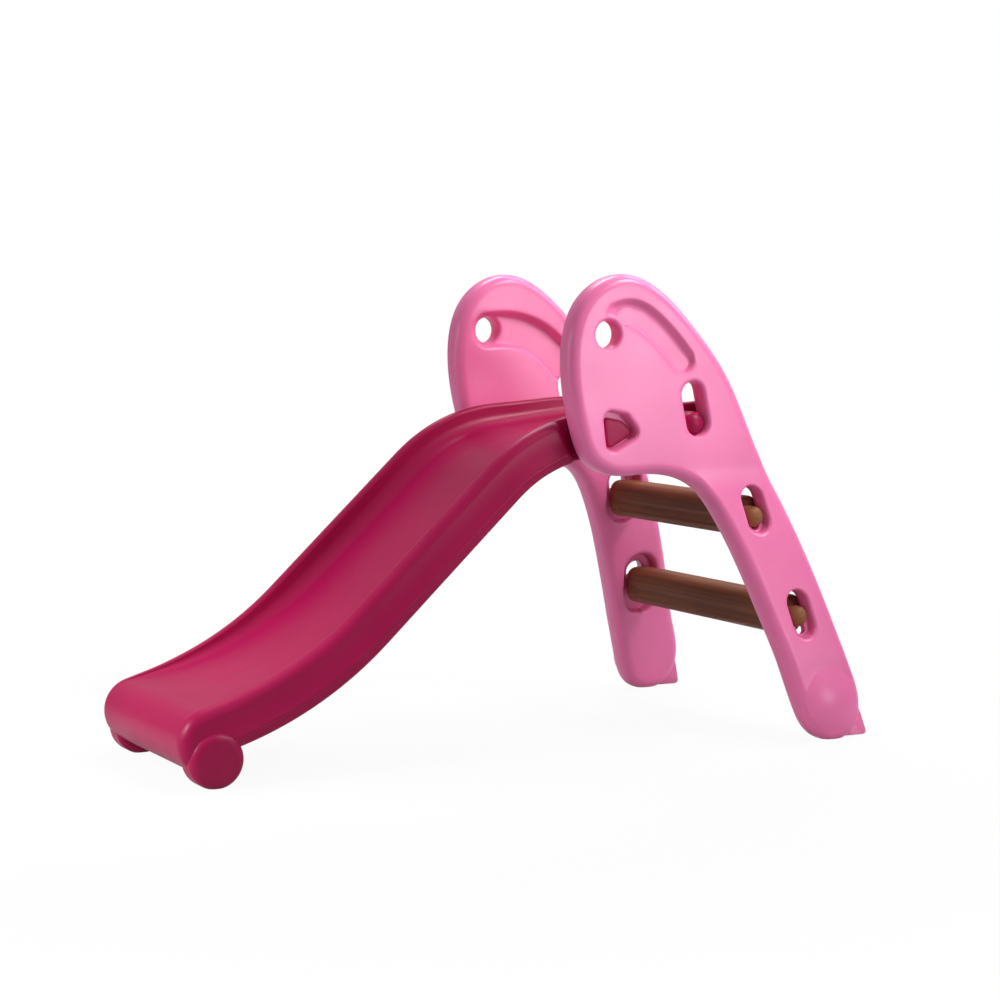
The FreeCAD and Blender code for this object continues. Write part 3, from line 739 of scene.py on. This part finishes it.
def new_tree(name, inputs):
    """A modifier's node tree with named inputs; returns it and the inputs' wires by name."""
    tree = bpy.data.node_groups.new(name, "GeometryNodeTree")
    for label, kind in [("Geometry", "Geometry")] + inputs:
        tree.interface.new_socket(label, in_out="INPUT", socket_type="NodeSocket" + kind)
    tree.interface.new_socket("Geometry", in_out="OUTPUT", socket_type="NodeSocketGeometry")
    start = tree.nodes.new("NodeGroupInput")
    return tree, {socket.name: Wire(socket) for socket in start.outputs}


def finish_tree(tree, geometry, material):
    """Realises, shades smooth, gives the material and ends the tree."""
    real = node(tree, "GeometryNodeRealizeInstances", {0: geometry})
    smooth = node(tree, "GeometryNodeSetShadeSmooth", {0: real})
    done = node(tree, "GeometryNodeSetMaterial", {"Geometry": smooth, "Material": material})
    tree.links.new(done.socket, tree.nodes.new("NodeGroupOutput").inputs[0])


def dot(a, b):
    """The dot product of two vectors."""
    return node(a, "ShaderNodeVectorMath", {0: a, 1: b}, "Value", operation="DOT_PRODUCT")


def size_of(value):
    """The length of a vector."""
    return node(value, "ShaderNodeVectorMath", {0: value}, "Value", operation="LENGTH")


def scaled(value, factor):
    """A vector or colour times a number."""
    return node(factor, "ShaderNodeVectorMath", {0: value, "Scale": factor}, operation="SCALE")


def vector(*parts):
    """A vector from three numbers, at least one of them a wire."""
    at = next(part for part in parts if isinstance(part, Wire))
    return node(at, "ShaderNodeCombineXYZ", enumerate(parts))


def split(value):
    """The three numbers of a vector."""
    made = node(value, "ShaderNodeSeparateXYZ", {0: value}).socket.node
    return [Wire(socket) for socket in made.outputs]


def ranged(value, start=(0.0, 1.0), end=(0.0, 1.0), **settings):
    """A value carried from one range over to another."""
    names = ("Value", "From Min", "From Max", "To Min", "To Max")
    return node(value, "ShaderNodeMapRange", zip(names, (value, *start, *end)), **settings)


def sample(geometry, index, name, kind="FLOAT_VECTOR"):
    """A geometry's named attribute, or without a name its position, at one of its points."""
    if name:
        value = node(index, "GeometryNodeInputNamedAttribute", {"Name": name}, data_type=kind)
    else:
        value = node(index, "GeometryNodeInputPosition")
    inputs = {"Geometry": geometry, "Value": value, "Index": index}
    return node(index, "GeometryNodeSampleIndex", inputs, data_type=kind)


def set_inputs(modifier, values):
    """Sets a modifier's inputs by their sockets' identifiers."""
    for item in modifier.node_group.interface.items_tree:
        if item.in_out == "INPUT" and item.name in values:
            modifier[item.identifier] = values[item.name]


def grown(name, start, tree, values):
    """The plain mesh that a node tree makes of a starting mesh; nothing else is left behind."""
    source = bpy.data.objects.new(name, start)
    bpy.context.collection.objects.link(source)
    modifier = source.modifiers.new(tree.name, "NODES")
    modifier.node_group = tree
    set_inputs(modifier, values)
    bpy.context.view_layer.update()
    shape = source.evaluated_get(bpy.context.evaluated_depsgraph_get())
    mesh = bpy.data.meshes.new_from_object(shape)
    mesh.name = name
    bpy.data.objects.remove(source)
    return mesh


def sweep_tree():
    """Sweeps the chute's cross-section round its side view.

    The geometry is the closed side view, a point per station, with its inward
    direction and its half width, edge rounding and channel depth. The object input
    holds one point per point of the cross-section, with its shares of every size.
    """
    sizes = ["Channel half width", "Lip rounding", "Floor rounding", "Channel depth"]
    inputs = [("Section", "Object")] + [(name, "Float") for name in sizes] + [("Material", "Material")]
    tree, given = new_tree("Chute sweep", inputs)
    stations = given["Geometry"]
    section = node(tree, "GeometryNodeObjectInfo", {"Object": given["Section"]}, "Geometry")
    along, across = (node(tree, "GeometryNodeAttributeDomainSize", {0: part}, "Point Count")
                     for part in (stations, section))
    grid = node(tree, "GeometryNodeMeshGrid", {"Vertices X": along + 1, "Vertices Y": across})
    index = node(tree, "GeometryNodeInputIndex")
    station = ((index + 0.5) / across).maths("FLOOR") % along
    spot, inward, local, corner = (
        sample(stations, station, name) for name in ("", "inward", "local", "corner"))
    place_across = index % across
    edge, reach, drop = (
        sample(section, place_across, name + "_share") for name in ("edge", "reach", "drop"))
    side = sample(section, place_across, "side", "FLOAT")
    half, edge_radius, channel = split(local)
    inner, lip, fillet, depth = (given[name] for name in sizes)
    share = channel / depth
    lip_now = lip * (share * 0.7 + 0.3)
    y = dot(edge, vector(half, edge_radius, 0.0)) + dot(reach, vector(inner, lip_now, fillet))
    sunk = dot(drop, vector(depth, lip, fillet)) * share
    sunk = sunk + split(edge)[2] * edge_radius + dot(edge, corner)
    for shift in (scaled(inward, sunk), vector(0.0, y * side, 0.0)):
        spot = node(tree, "ShaderNodeVectorMath", {0: spot, 1: shift}, operation="ADD")
    placed = node(tree, "GeometryNodeSetPosition", {"Geometry": grid, "Position": spot})
    closed = {"Geometry": placed, "Distance": 0.00001}
    finish_tree(tree, node(tree, "GeometryNodeMergeByDistance", closed), given["Material"])
    return tree


def rung_tree():
    """A rung: rounded bar along Y with a long shallow hollow on each face and domed plugs."""
    sizes = ["Half length", "Depth", "Height", "Corner rounding", "End rounding", "Plug radius",
             "Plug reach", "Tip dome", "Flute"]
    inputs = [(name, "Float") for name in sizes] + [("Points around", "Int"), ("Middle", "Vector")]
    tree, size = new_tree("Rung", inputs + [("Material", "Material")])
    half_length, end, radius = (size[name] for name in ("Half length", "End rounding", "Plug radius"))
    box = {"Width": size["Depth"], "Height": size["Height"]}
    box = node(tree, "GeometryNodeCurvePrimitiveQuadrilateral", box)
    corner = {"Curve": box, "Radius": size["Corner rounding"], "Count": 12, "Limit Radius": True}
    box = node(tree, "GeometryNodeFilletCurve", corner, mode="POLY")
    box = node(tree, "GeometryNodeResampleCurve", {"Curve": box, "Count": size["Points around"]})
    bar = swept(box, half_length, end, size["Height"] * 0.5, end, count=240)
    x, y, z = split(node(tree, "GeometryNodeInputPosition"))
    past = (abs(y) - half_length + FLUTE_END).maths("MAXIMUM", 0.0) / FLUTE_HALF
    gap = size_of(vector(past, (z + FLUTE_DROP) / FLUTE_HALF, 0.0))
    hollow = ranged(gap, (1.15, 0.8), interpolation_type="SMOOTHSTEP")
    shift = hollow * size["Flute"] * (x.maths("SIGN") * -1.0)
    bar = node(tree, "GeometryNodeSetPosition", {"Geometry": bar, "Offset": vector(shift, 0.0, 0.0)})
    disc = node(tree, "GeometryNodeCurvePrimitiveCircle", {"Resolution": 48, "Radius": radius})
    plug = swept(disc, size["Plug reach"], size["Tip dome"], radius, radius, count=260)
    marked = {"Geometry": plug, "Name": "plug", "Value": 1.0}
    plug = node(tree, "GeometryNodeStoreNamedAttribute", marked, data_type="FLOAT", domain="POINT")
    both = tree.nodes.new("GeometryNodeJoinGeometry")
    for part in (bar, plug):
        tree.links.new(part.socket, both.inputs[0])
    moved = {"Geometry": Wire(both.outputs[0]), "Translation": size["Middle"]}
    finish_tree(tree, node(tree, "GeometryNodeTransform", moved), size["Material"])
    return tree


def swept(profile, half_length, end_run, half_height, end_drop, count):
    """Sweeps a profile along Y, rounded off over end_run at both ends."""
    ends = {"Start": vector(0.0, half_length * -1.0, 0.0), "End": vector(0.0, half_length, 0.0)}
    line = node(profile, "GeometryNodeCurvePrimitiveLine", ends)
    line = node(profile, "GeometryNodeResampleCurve", {"Curve": line, "Count": count})
    y = split(node(profile, "GeometryNodeInputPosition"))[1]
    share = 1.0 - (half_length - abs(y)) / end_run
    share = share.maths("MAXIMUM", 0.0).maths("MINIMUM", 0.9999)
    arc = (1.0 - share * share).maths("SQRT")
    radius = 1.0 - (1.0 - arc) * (end_drop / half_height)
    line = node(profile, "GeometryNodeSetCurveRadius", {"Curve": line, "Radius": radius})
    made = {"Curve": line, "Profile Curve": profile, "Fill Caps": True, "Scale": radius}
    return node(profile, "GeometryNodeCurveToMesh", made)


# --- materials ---------------------------------------------------------------
def noise(where, scale, detail, **more):
    """A noise texture's value."""
    inputs = {"Vector": where, "Scale": scale, "Detail": detail, **more}
    return node(where, "ShaderNodeTexNoise", inputs)


def stretched(where, scale, turn=(0.0, 0.0, 0.0)):
    """Coordinates scaled and turned."""
    return node(where, "ShaderNodeMapping", {"Vector": where, "Scale": scale, "Rotation": turn})


def mixed(share, first, second):
    """A colour between two others."""
    return node(share, "ShaderNodeMix", {0: share, 6: first, 7: second}, 2, data_type="RGBA")


def bump(height, distance, **more):
    """A normal tilted by a height pattern."""
    inputs = {"Height": height, "Distance": distance, "Strength": 0.5, **more}
    return node(height, "ShaderNodeBump", inputs)


def moulded_plastic(name, base, gloss, shine, streaks=None):
    """Satin polyethylene: faint mottling, orange peel, soft waves and fine scuffs."""
    made = bpy.data.materials.new(name)
    made.use_nodes = True
    tree = made.node_tree
    shader = tree.nodes["Principled BSDF"]
    where = node(tree, "ShaderNodeTexCoord", output="Object")
    tone = scaled(base, ranged(noise(where, 7.0, 4.0), (0.3, 0.7), (0.94, 1.05)))
    waves = bump(noise(where, 14.0, 1.0), 0.0012)
    relief = bump(noise(where, 650.0, 2.0), 0.00006, Normal=waves)
    if streaks:
        grain = stretched(where, (190.0, 3.5, 190.0))
        grain = noise(grain, 1.0, 6.0, Roughness=0.65, Distortion=0.4)
        tone = mixed(ranged(grain, (0.38, 0.66)), (*streaks, 1.0), tone)
        ends = node(tree, "ShaderNodeAttribute", output="Fac", attribute_name="plug")
        golden = tuple(c * share for c, share in zip(base, GOLDEN_END)) + (1.0,)
        tone = mixed(ends * 0.8, tone, golden)
        relief = bump(grain, 0.0005, Normal=relief)
    rough = ranged(noise(where, 22.0, 5.0), (0.3, 0.7), (gloss - 0.025, gloss + 0.025))
    scuff = noise(stretched(where, (90.0, 700.0, 60.0), (0.2, 0.5, 0.1)), 1.0, 3.0)
    rough = rough + ranged(scuff, (0.5, 0.8), (0.0, 0.03))
    for label, result in (("Base Color", tone), ("Roughness", rough), ("Normal", relief)):
        tree.links.new(result.socket, shader.inputs[label])
    shader.inputs["IOR"].default_value = 1.5
    shader.inputs["Specular IOR Level"].default_value = shine
    return made


def plastic(slot):
    """The finish for a slot, made once."""
    colours = bpy.context.scene.slide_colours
    name = slot + "_finish"
    if name not in bpy.data.materials:
        finish = {
            "panel_plastic": (colours.panel, 0.30, 0.5),
            "chute_plastic": (colours.chute, 0.36, 0.22),
            "rung_plastic": (colours.rung, 0.42, 0.14, colours.rung_dark),
        }
        moulded_plastic(name, *finish[slot])
    return bpy.data.materials[name]


# --- pieces ------------------------------------------------------------------
def add_piece(name, mesh, slot, sharp):
    """Links a finished mesh as the piece that stands for the node of the same name."""
    made = bpy.data.objects.new(name + "_moulding", mesh)
    bpy.context.collection.objects.link(made)
    mesh.materials.clear()
    mesh.materials.append(plastic(slot))
    mesh.shade_smooth()
    mesh.set_sharp_from_angle(angle=math.radians(sharp))
    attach(made, "root")
    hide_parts(name)


def lathe(mesh, profile, middle, steps=64):
    """Turns (radius, y) points about a line along Y through middle; both ends are on the line."""
    x, z = middle
    rings = []
    for radius, y in profile:
        turns = [2 * math.pi * k / steps for k in range(steps if radius > 1e-6 else 1)]
        spots = [Vector((x + radius * math.cos(w), y, z + radius * math.sin(w))) for w in turns]
        rings.append([mesh.verts.new(spot * MM) for spot in spots])
    bridge(mesh, rings)


def drum_profile(radius, low, high, inner_edge, edge, crown):
    """Half section of a drum with rounded rims and a slightly crowned outer face."""
    profile = [(0, low), (radius - inner_edge, low)]
    for w in np.linspace(0.2, math.pi / 2, 7):
        profile.append((radius - inner_edge + inner_edge * math.sin(w),
                        low + inner_edge - inner_edge * math.cos(w)))
    profile += [(radius - edge + edge * math.cos(w), high - edge + edge * math.sin(w))
                for w in np.linspace(0, math.pi / 2 - 0.1, 8)]
    profile += [((radius - edge) * k / 6, high + crown * (1 - (k / 6) ** 2)) for k in range(6, -1, -1)]
    return profile


def plug_profile(radius, low, high, dome):
    """Half section of a round plug with a domed tip."""
    profile = [(0, low), (radius, low), (radius, high - dome)]
    return profile + [(radius * math.cos(w), high - dome + dome * math.sin(w))
                      for w in np.linspace(0.12, math.pi / 2, 10)]


def prism(mesh, corners, radius, low, high, chamfer):
    """Rounded prism along Y with a soft rim at its high end."""
    steps = ((0, low), (0, high - chamfer), (chamfer * 0.3, high - chamfer * 0.35),
             (chamfer, high), (chamfer + 3, high + 0.2))
    rings = [hull_ring(corners, radius - inset, 2.0 * (radius - inset) / radius) for inset, _ in steps]
    count = min(len(ring) for ring in rings)
    loops = []
    for ring, (_, y) in zip(rings, steps):
        even = resample(np.vstack([ring, ring[:1]]), None, True, count)
        loops.append([mesh.verts.new(Vector((x, y, z)) * MM) for x, z in even])
    bridge(mesh, loops)
    mesh.faces.new(loops[0])
    mesh.faces.new(loops[-1])


def chute_lines(sizes):
    """Top line, nose arc and underside of the chute's side view, and the channel's depth at the top."""
    nose = np.array(NOSE)
    toe = np.array(RAIL_CORNERS[2])
    reach = nose - toe
    far = np.linalg.norm(reach)
    roll = sizes.nose / MM
    way = math.atan2(reach[1], reach[0]) - math.asin(roll / far)
    end = toe + math.sqrt(far**2 - roll**2) * np.array([math.cos(way), math.sin(way)])
    corners = [np.array(c, float) for c in RAIL_CORNERS] + [end]
    band = sizes.band / MM
    top = rounded_line(corners, [CREST_R, TOE_R], LINE_STEP)
    low = rounded_line(shifted(corners, [band] * 4), [CREST_R - band, TOE_R + band], LINE_STEP)
    low[0, 0] = top[0, 0]
    depths = [share * sizes.depth / MM for share in DEPTH_SHARES]
    floor = rounded_line(shifted(corners, depths), [CREST_R - depths[1], TOE_R + depths[2]], FLOOR_STEP)
    spacing = sizes.spacing / MM
    halves = []
    for rear in (True, False):
        parts = []
        for line, shoulder in ((top, SHOULDER_TOP), (low, SHOULDER_LOW)):
            turn = int(np.argmin(abs(line[:, 0] - shoulder)))
            parts.append(line[:turn + 1] if rear else line[turn:])
        total = (len(parts[0]) - 1) * LINE_STEP
        even = np.arange(FIRST_EVEN + spacing, total - spacing / 2, spacing)
        at = np.array([*END_STATIONS, *even, total])
        for k, part in enumerate(parts):
            index = at / total * (len(part) - 1)
            columns = [np.interp(index, range(len(part)), column) for column in part.T]
            parts[k] = np.column_stack(columns)
        halves.append(parts)
    top, low = (np.vstack(lines) for lines in zip(*halves))
    start = math.atan2(end[1] - nose[1], end[0] - nose[0])
    finish = math.atan2(low[-1][1] - nose[1], low[-1][0] - nose[0]) + 2 * math.pi
    gap = np.linalg.norm(low[-1] - nose)
    arc = []
    for w in np.linspace(start, finish, NOSE_STEPS)[1:-1]:
        late = max(0, (w - finish) / (finish - start) * 6 + 1)
        arc.append(nose + (roll + (gap - roll) * late) * np.array([math.cos(w), math.sin(w)]))
    depth = []
    for spot, normal in zip(top, normals_of(top)):
        aside = abs((floor - spot) @ [normal[1], -normal[0]])
        aside = np.where(np.linalg.norm(floor - spot, axis=1) < FLOOR_NEAR, aside, np.inf)
        depth.append((floor[int(np.argmin(aside))] - spot) @ normal)
    return top, np.array(arc), low, depth


def chute_station(x, sizes):
    """Half width, edge rounding and extra drop of the outer edge at a station of the top line."""
    to_shoulder = SHOULDER_TOP - x
    if to_shoulder < 1e-3:
        to_rear = RAIL_CORNERS[0][0] - x
        return sizes.neck_half / MM - float(edge_drop(to_rear, REAR_ROUND)), NECK_EDGE, 0
    lost = float(edge_drop(to_shoulder, SHOULDER_ROUND))
    start, run = NOSE_FADE
    nose = np.clip((-x - start) / run, 0, 1)
    edge = sizes.edge / MM - lost * EDGE_LOSS
    edge += (sizes.nose_edge / MM - edge) * nose * nose * (3 - 2 * nose)
    share, radius = SHOULDER_DROP
    return sizes.half / MM - lost, edge, share * float(edge_drop(to_shoulder, radius))


def chute_mesh(sizes):
    """The whole chute: swept shell, side walls, rests, lugs and rear plugs."""
    top, arc, low, depth = chute_lines(sizes)
    spots = np.vstack([top, arc, low[::-1]])
    inward = np.vstack([normals_of(top), [unit(NOSE - spot) for spot in arc], -normals_of(low)[::-1]])
    edges = [chute_station(spot[0], sizes) for spot in top]
    local = [(half, edge, deep) for (half, edge, _), deep in zip(edges, depth)]
    fading = [depth[-1] * max(0, 1 - (k + 1) / 6) for k in range(len(arc))]
    local += [(sizes.half / MM, sizes.nose_edge / MM, deep) for deep in fading]
    local += [(half, min(edge, LOW_EDGE), 0) for half, edge, _ in edges[::-1]]
    corner = [extra for _, _, extra in edges] + [0] * (len(arc) + len(low))
    stations = bpy.data.meshes.new("chute_stations")
    stations.from_pydata([(x * MM, 0, z * MM) for x, z in spots], [], [])
    add_vectors(stations, "inward", [(x, 0, z) for x, z in inward])
    add_vectors(stations, "local", [tuple(c * MM for c in values) for values in local])
    add_vectors(stations, "corner", [(0, 0, extra * MM) for extra in corner])
    section = chute_section()
    bpy.context.collection.objects.link(section)
    shell = grown("chute_moulding", stations, sweep_tree(), {
        "Section": section, "Channel half width": sizes.inner_half,
        "Lip rounding": sizes.lip, "Floor rounding": sizes.fillet,
        "Channel depth": sizes.depth, "Material": plastic("chute_plastic"),
    })
    across = len(section.data.vertices)
    bpy.data.objects.remove(section)
    mesh = bmesh.new()
    mesh.from_mesh(shell)
    if len(mesh.verts) != len(spots) * across:
        raise RuntimeError("the chute's stations were merged: " + str(len(mesh.verts)))
    count = len(top)
    points = list(mesh.verts)
    for rim in (points[::across], points[across - 1::across]):
        rows = [rim[:count]] + wall_seams(mesh, rim, count, sizes) + [rim[:-count - 1:-1]]
        bridge(mesh, rows, closed=False)
        mesh.faces.new(rim[count - 1:len(spots) - count + 1] + [row[-1] for row in rows[-2:0:-1]])
    for side in (1, -1):
        extras = chute_extras(side, sizes)
        mesh.from_mesh(extras)
        bpy.data.meshes.remove(extras)
    bmesh.ops.recalc_face_normals(mesh, faces=mesh.faces)
    mesh.to_mesh(shell)
    mesh.free()
    return shell


def chute_extras(side, sizes):
    """The rest, rear plug and lug of one side; side is 1 for +Y and -1 for -Y."""
    mesh = bmesh.new()
    middle, near, far = REST
    high = far - REST_CROWN
    drum = drum_profile(sizes.rest / MM, near, high, inner_edge=8, edge=13, crown=REST_CROWN)
    lathe(mesh, drum, middle)
    middle, radius, tip = REAR_PLUG
    lathe(mesh, plug_profile(radius, INSIDE_WALL, tip - 0.5, dome=12), middle, steps=48)
    prism(mesh, *LUG, INSIDE_WALL, LUG_FACE - 0.3, chamfer=2.2)
    bmesh.ops.scale(mesh, vec=(1, side, 1), verts=mesh.verts)
    for vert in mesh.verts:
        vert.co.z = max(vert.co.z, 0)
    bmesh.ops.recalc_face_normals(mesh, faces=mesh.faces)
    extras = bpy.data.meshes.new("extras")
    mesh.to_mesh(extras)
    mesh.free()
    return extras


def wall_seams(mesh, rim, count, sizes):
    """Rows of points along a side wall that raise the mould's two fine parting lines."""
    rows = []
    for share in WALL_SEAMS:
        for shift, proud in WALL_SEAM_ROWS:
            row = []
            for k in range(count):
                spot = rim[k].co.lerp(rim[-k - 1].co, share + shift)
                spot.y += math.copysign(sizes.seam * proud, spot.y)
                row.append(mesh.verts.new(spot))
            rows.append(row)
    return rows


def add_vectors(mesh, name, values):
    """Gives each point of a mesh a vector under a name."""
    layer = mesh.attributes.new(name, "FLOAT_VECTOR", "POINT")
    layer.data.foreach_set("vector", [c for value in values for c in value])


def chute_section():
    """One point per point of the cross-section, with its share of every size.

    edge_share: of half width and edge rounding across, and of edge rounding down.
    reach_share: of channel half width, lip and floor rounding, across.
    drop_share: of channel depth, lip and floor rounding, down.
    """
    none = (0, 0, 0)
    right = math.pi / 2
    half = [((1, math.sin(w) - 1, 1 - math.cos(w)), none, none) for w in np.linspace(right, 0, 8)]
    for w in np.linspace(0, right, 8):
        half.append((none, (1, 1 - math.sin(w), 0), (0, 1 - math.cos(w), 0)))
    for w in np.linspace(0.12, right, 9):
        half.append((none, (1, 0, math.cos(w) - 1), (1, 0, math.sin(w) - 1)))
    half += [(none, (k, 0, -k), (1, 0, 0)) for k in (0.8, 0.6, 0.4, 0.2)]
    rows = half + [(none, none, (1, 0, 0))] + half[::-1]
    mesh = bpy.data.meshes.new("chute_section")
    mesh.from_pydata([(k * MM, 0, 0) for k in range(len(rows))], [], [])
    for number, name in enumerate(("edge_share", "reach_share", "drop_share")):
        add_vectors(mesh, name, [row[number] for row in rows])
    layer = mesh.attributes.new("side", "FLOAT", "POINT")
    layer.data.foreach_set("value", [1] * len(half) + [0] + [-1] * len(half))
    return bpy.data.objects.new("chute_section", mesh)


class SLIDE_OT_panels(bpy.types.Operator):
    """Builds both side panels"""

    bl_idname = "slide.panels"
    bl_label = "Side panels"

    def execute(self, context):
        for name, side in (("side_panel_right", 1), ("side_panel_left", -1)):
            shape = panel_mesh(side, context.scene.slide_panel)
            mesh = bpy.data.meshes.new(name)
            shape.to_mesh(mesh)
            shape.free()
            add_piece(name, mesh, "panel_plastic", sharp=50)
        return {"FINISHED"}


class SLIDE_OT_chute(bpy.types.Operator):
    """Builds the chute with its rests, lugs and plugs"""

    bl_idname = "slide.chute"
    bl_label = "Chute"

    def execute(self, context):
        add_piece("chute", chute_mesh(context.scene.slide_chute), "chute_plastic", sharp=50)
        return {"FINISHED"}


class SLIDE_OT_rungs(bpy.types.Operator):
    """Builds both rungs with their plugs"""

    bl_idname = "slide.rungs"
    bl_label = "Rungs"

    def execute(self, context):
        sizes = context.scene.slide_rung
        tree = rung_tree()
        for name in ("upper_rung", "lower_rung"):
            low, high = (Vector(corner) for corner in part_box(name))
            reach = (high.y - low.y) / 2
            mesh = grown(name, bpy.data.meshes.new(name), tree, {
                "Half length": reach - sizes.plug_length, "Depth": high.x - low.x,
                "Height": high.z - low.z, "Corner rounding": sizes.corner,
                "End rounding": sizes.end, "Plug radius": sizes.plug, "Plug reach": reach,
                "Tip dome": sizes.tip, "Flute": sizes.flute, "Points around": sizes.around,
                "Middle": (low + high) / 2, "Material": plastic("rung_plastic"),
            })
            add_piece(name, mesh, "rung_plastic", sharp=60)
        return {"FINISHED"}


class SLIDE_OT_stage(bpy.types.Operator):
    """Makes the floor, the lamps, the world and the camera"""

    bl_idname = "slide.stage"
    bl_label = "Stage"

    def execute(self, context):
        scene = context.scene
        colours = scene.slide_colours
        mesh = bpy.data.meshes.new("floor")
        corners = [(-FLOOR, -FLOOR), (FLOOR, -FLOOR), (FLOOR, FLOOR), (-FLOOR, FLOOR)]
        mesh.from_pydata([(x, y, -0.001) for x, y in corners], [], [(0, 1, 2, 3)])
        floor = bpy.data.objects.new("floor", mesh)
        context.collection.objects.link(floor)
        mesh.materials.append(pale_floor(colours.floor))
        world = bpy.data.worlds.new("studio")
        scene.world = world
        pale_world(world)
        for name, spot, target, size, power, spread, tone in LAMPS:
            lamp(name, spot, target, size, power * colours.lamp, spread, tone)
        camera = bpy.data.cameras.new("camera")
        camera.lens = 84.96
        camera.shift_x = 0.016
        camera.shift_y = 0.030
        camera.clip_end = 30
        view = bpy.data.objects.new("camera", camera)
        view.location = (-1.6075, -2.974, 0.658)
        view.rotation_euler = (math.radians(90 - 6.01), 0, math.radians(-28.62))
        context.collection.objects.link(view)
        scene.camera = view
        scene.view_settings.view_transform = "Standard"
        return {"FINISHED"}


def lamp(name, spot, target, size, power, spread, tone):
    """Square area lamp that looks at a target, with its beam's full angle in degrees."""
    data = bpy.data.lights.new(name, "AREA")
    data.size = size
    data.energy = power
    data.color = tone
    data.spread = math.radians(spread)
    made = bpy.data.objects.new(name, data)
    made.location = spot
    made.rotation_euler = (Vector(target) - Vector(spot)).to_track_quat("-Z", "Y").to_euler()
    bpy.context.collection.objects.link(made)


def seen_directly(tree):
    """1 for camera and see-through rays, which show the pale background, and less for mirror rays."""
    path = node(tree, "ShaderNodeLightPath").socket.node.outputs
    direct = Wire(path["Is Camera Ray"]).maths("MAXIMUM", Wire(path["Is Transmission Ray"]))
    return direct.maths("MAXIMUM", Wire(path["Is Glossy Ray"]) * MIRRORED)


def pale_floor(base):
    """Floor that shows white with a faint shadow round the object."""
    made = bpy.data.materials.new("pale_floor")
    made.use_nodes = True
    tree = made.node_tree
    shader = tree.nodes["Principled BSDF"]
    where = node(tree, "ShaderNodeTexCoord", output="Object")
    tint = ranged(noise(where, 3.0, 3.0), end=(0.97, 1.0))
    tree.links.new(scaled(base, tint).socket, shader.inputs["Base Color"])
    shader.inputs["Roughness"].default_value = 0.9
    glow = node(tree, "ShaderNodeEmission", {"Strength": 1.04})
    share = seen_directly(tree) * ranged(size_of(where), (0.6, 2.2), (0.9, 1.0))
    shown = node(tree, "ShaderNodeMixShader", {0: share, 1: Wire(shader.outputs[0]), 2: glow})
    tree.links.new(shown.socket, tree.nodes["Material Output"].inputs[0])
    return made


def pale_world(world):
    """Light from all round, more of it from above, seen as white."""
    world.use_nodes = True
    tree = world.node_tree
    back = tree.nodes["Background"]
    back.inputs["Color"].default_value = (1, 1, 1, 1)
    level = split(node(tree, "ShaderNodeTexCoord", output="Generated"))[2]
    sky = ranged(level, (0.0, 0.9), (0.1, 0.42))
    strength = ranged(seen_directly(tree), end=(sky, 1.0))
    tree.links.new(strength.socket, back.inputs["Strength"])


class SLIDE_PT_panel(bpy.types.Panel):
    """Lists the slide's sizes, colours and pieces"""

    bl_label = "Toddler slide"
    bl_idname = "SLIDE_PT_panel"
    bl_space_type = "VIEW_3D"
    bl_region_type = "UI"
    bl_category = "Slide"

    def draw(self, context):
        for label, group, operator in (
            ("Side panels", "slide_panel", "slide.panels"),
            ("Chute", "slide_chute", "slide.chute"),
            ("Rungs", "slide_rung", "slide.rungs"),
            ("Stage and colours", "slide_colours", "slide.stage"),
        ):
            box = self.layout.box()
            box.label(text=label)
            settings = getattr(context.scene, group)
            for name in settings.bl_rna.properties.keys():
                if name not in ("rna_type", "name"):
                    box.prop(settings, name)
            box.operator(operator)


GROUPS = {
    "slide_panel": PanelSizes,
    "slide_chute": ChuteSizes,
    "slide_rung": RungSizes,
    "slide_colours": SlideColours,
}
OPERATORS = [SLIDE_OT_panels, SLIDE_OT_chute, SLIDE_OT_rungs, SLIDE_OT_stage]


def register():
    for group in GROUPS.values():
        bpy.utils.register_class(group)
    for name, group in GROUPS.items():
        setattr(bpy.types.Scene, name, PointerProperty(type=group))
    for kind in OPERATORS + [SLIDE_PT_panel]:
        bpy.utils.register_class(kind)


def unregister():
    for kind in [SLIDE_PT_panel] + OPERATORS[::-1]:
        bpy.utils.unregister_class(kind)
    for name, group in GROUPS.items():
        delattr(bpy.types.Scene, name)
        bpy.utils.unregister_class(group)


def main():
    register()
    bpy.ops.slide.stage()
    bpy.ops.slide.panels()
    bpy.ops.slide.chute()
    bpy.ops.slide.rungs()


if __name__ == "__main__":
    main()
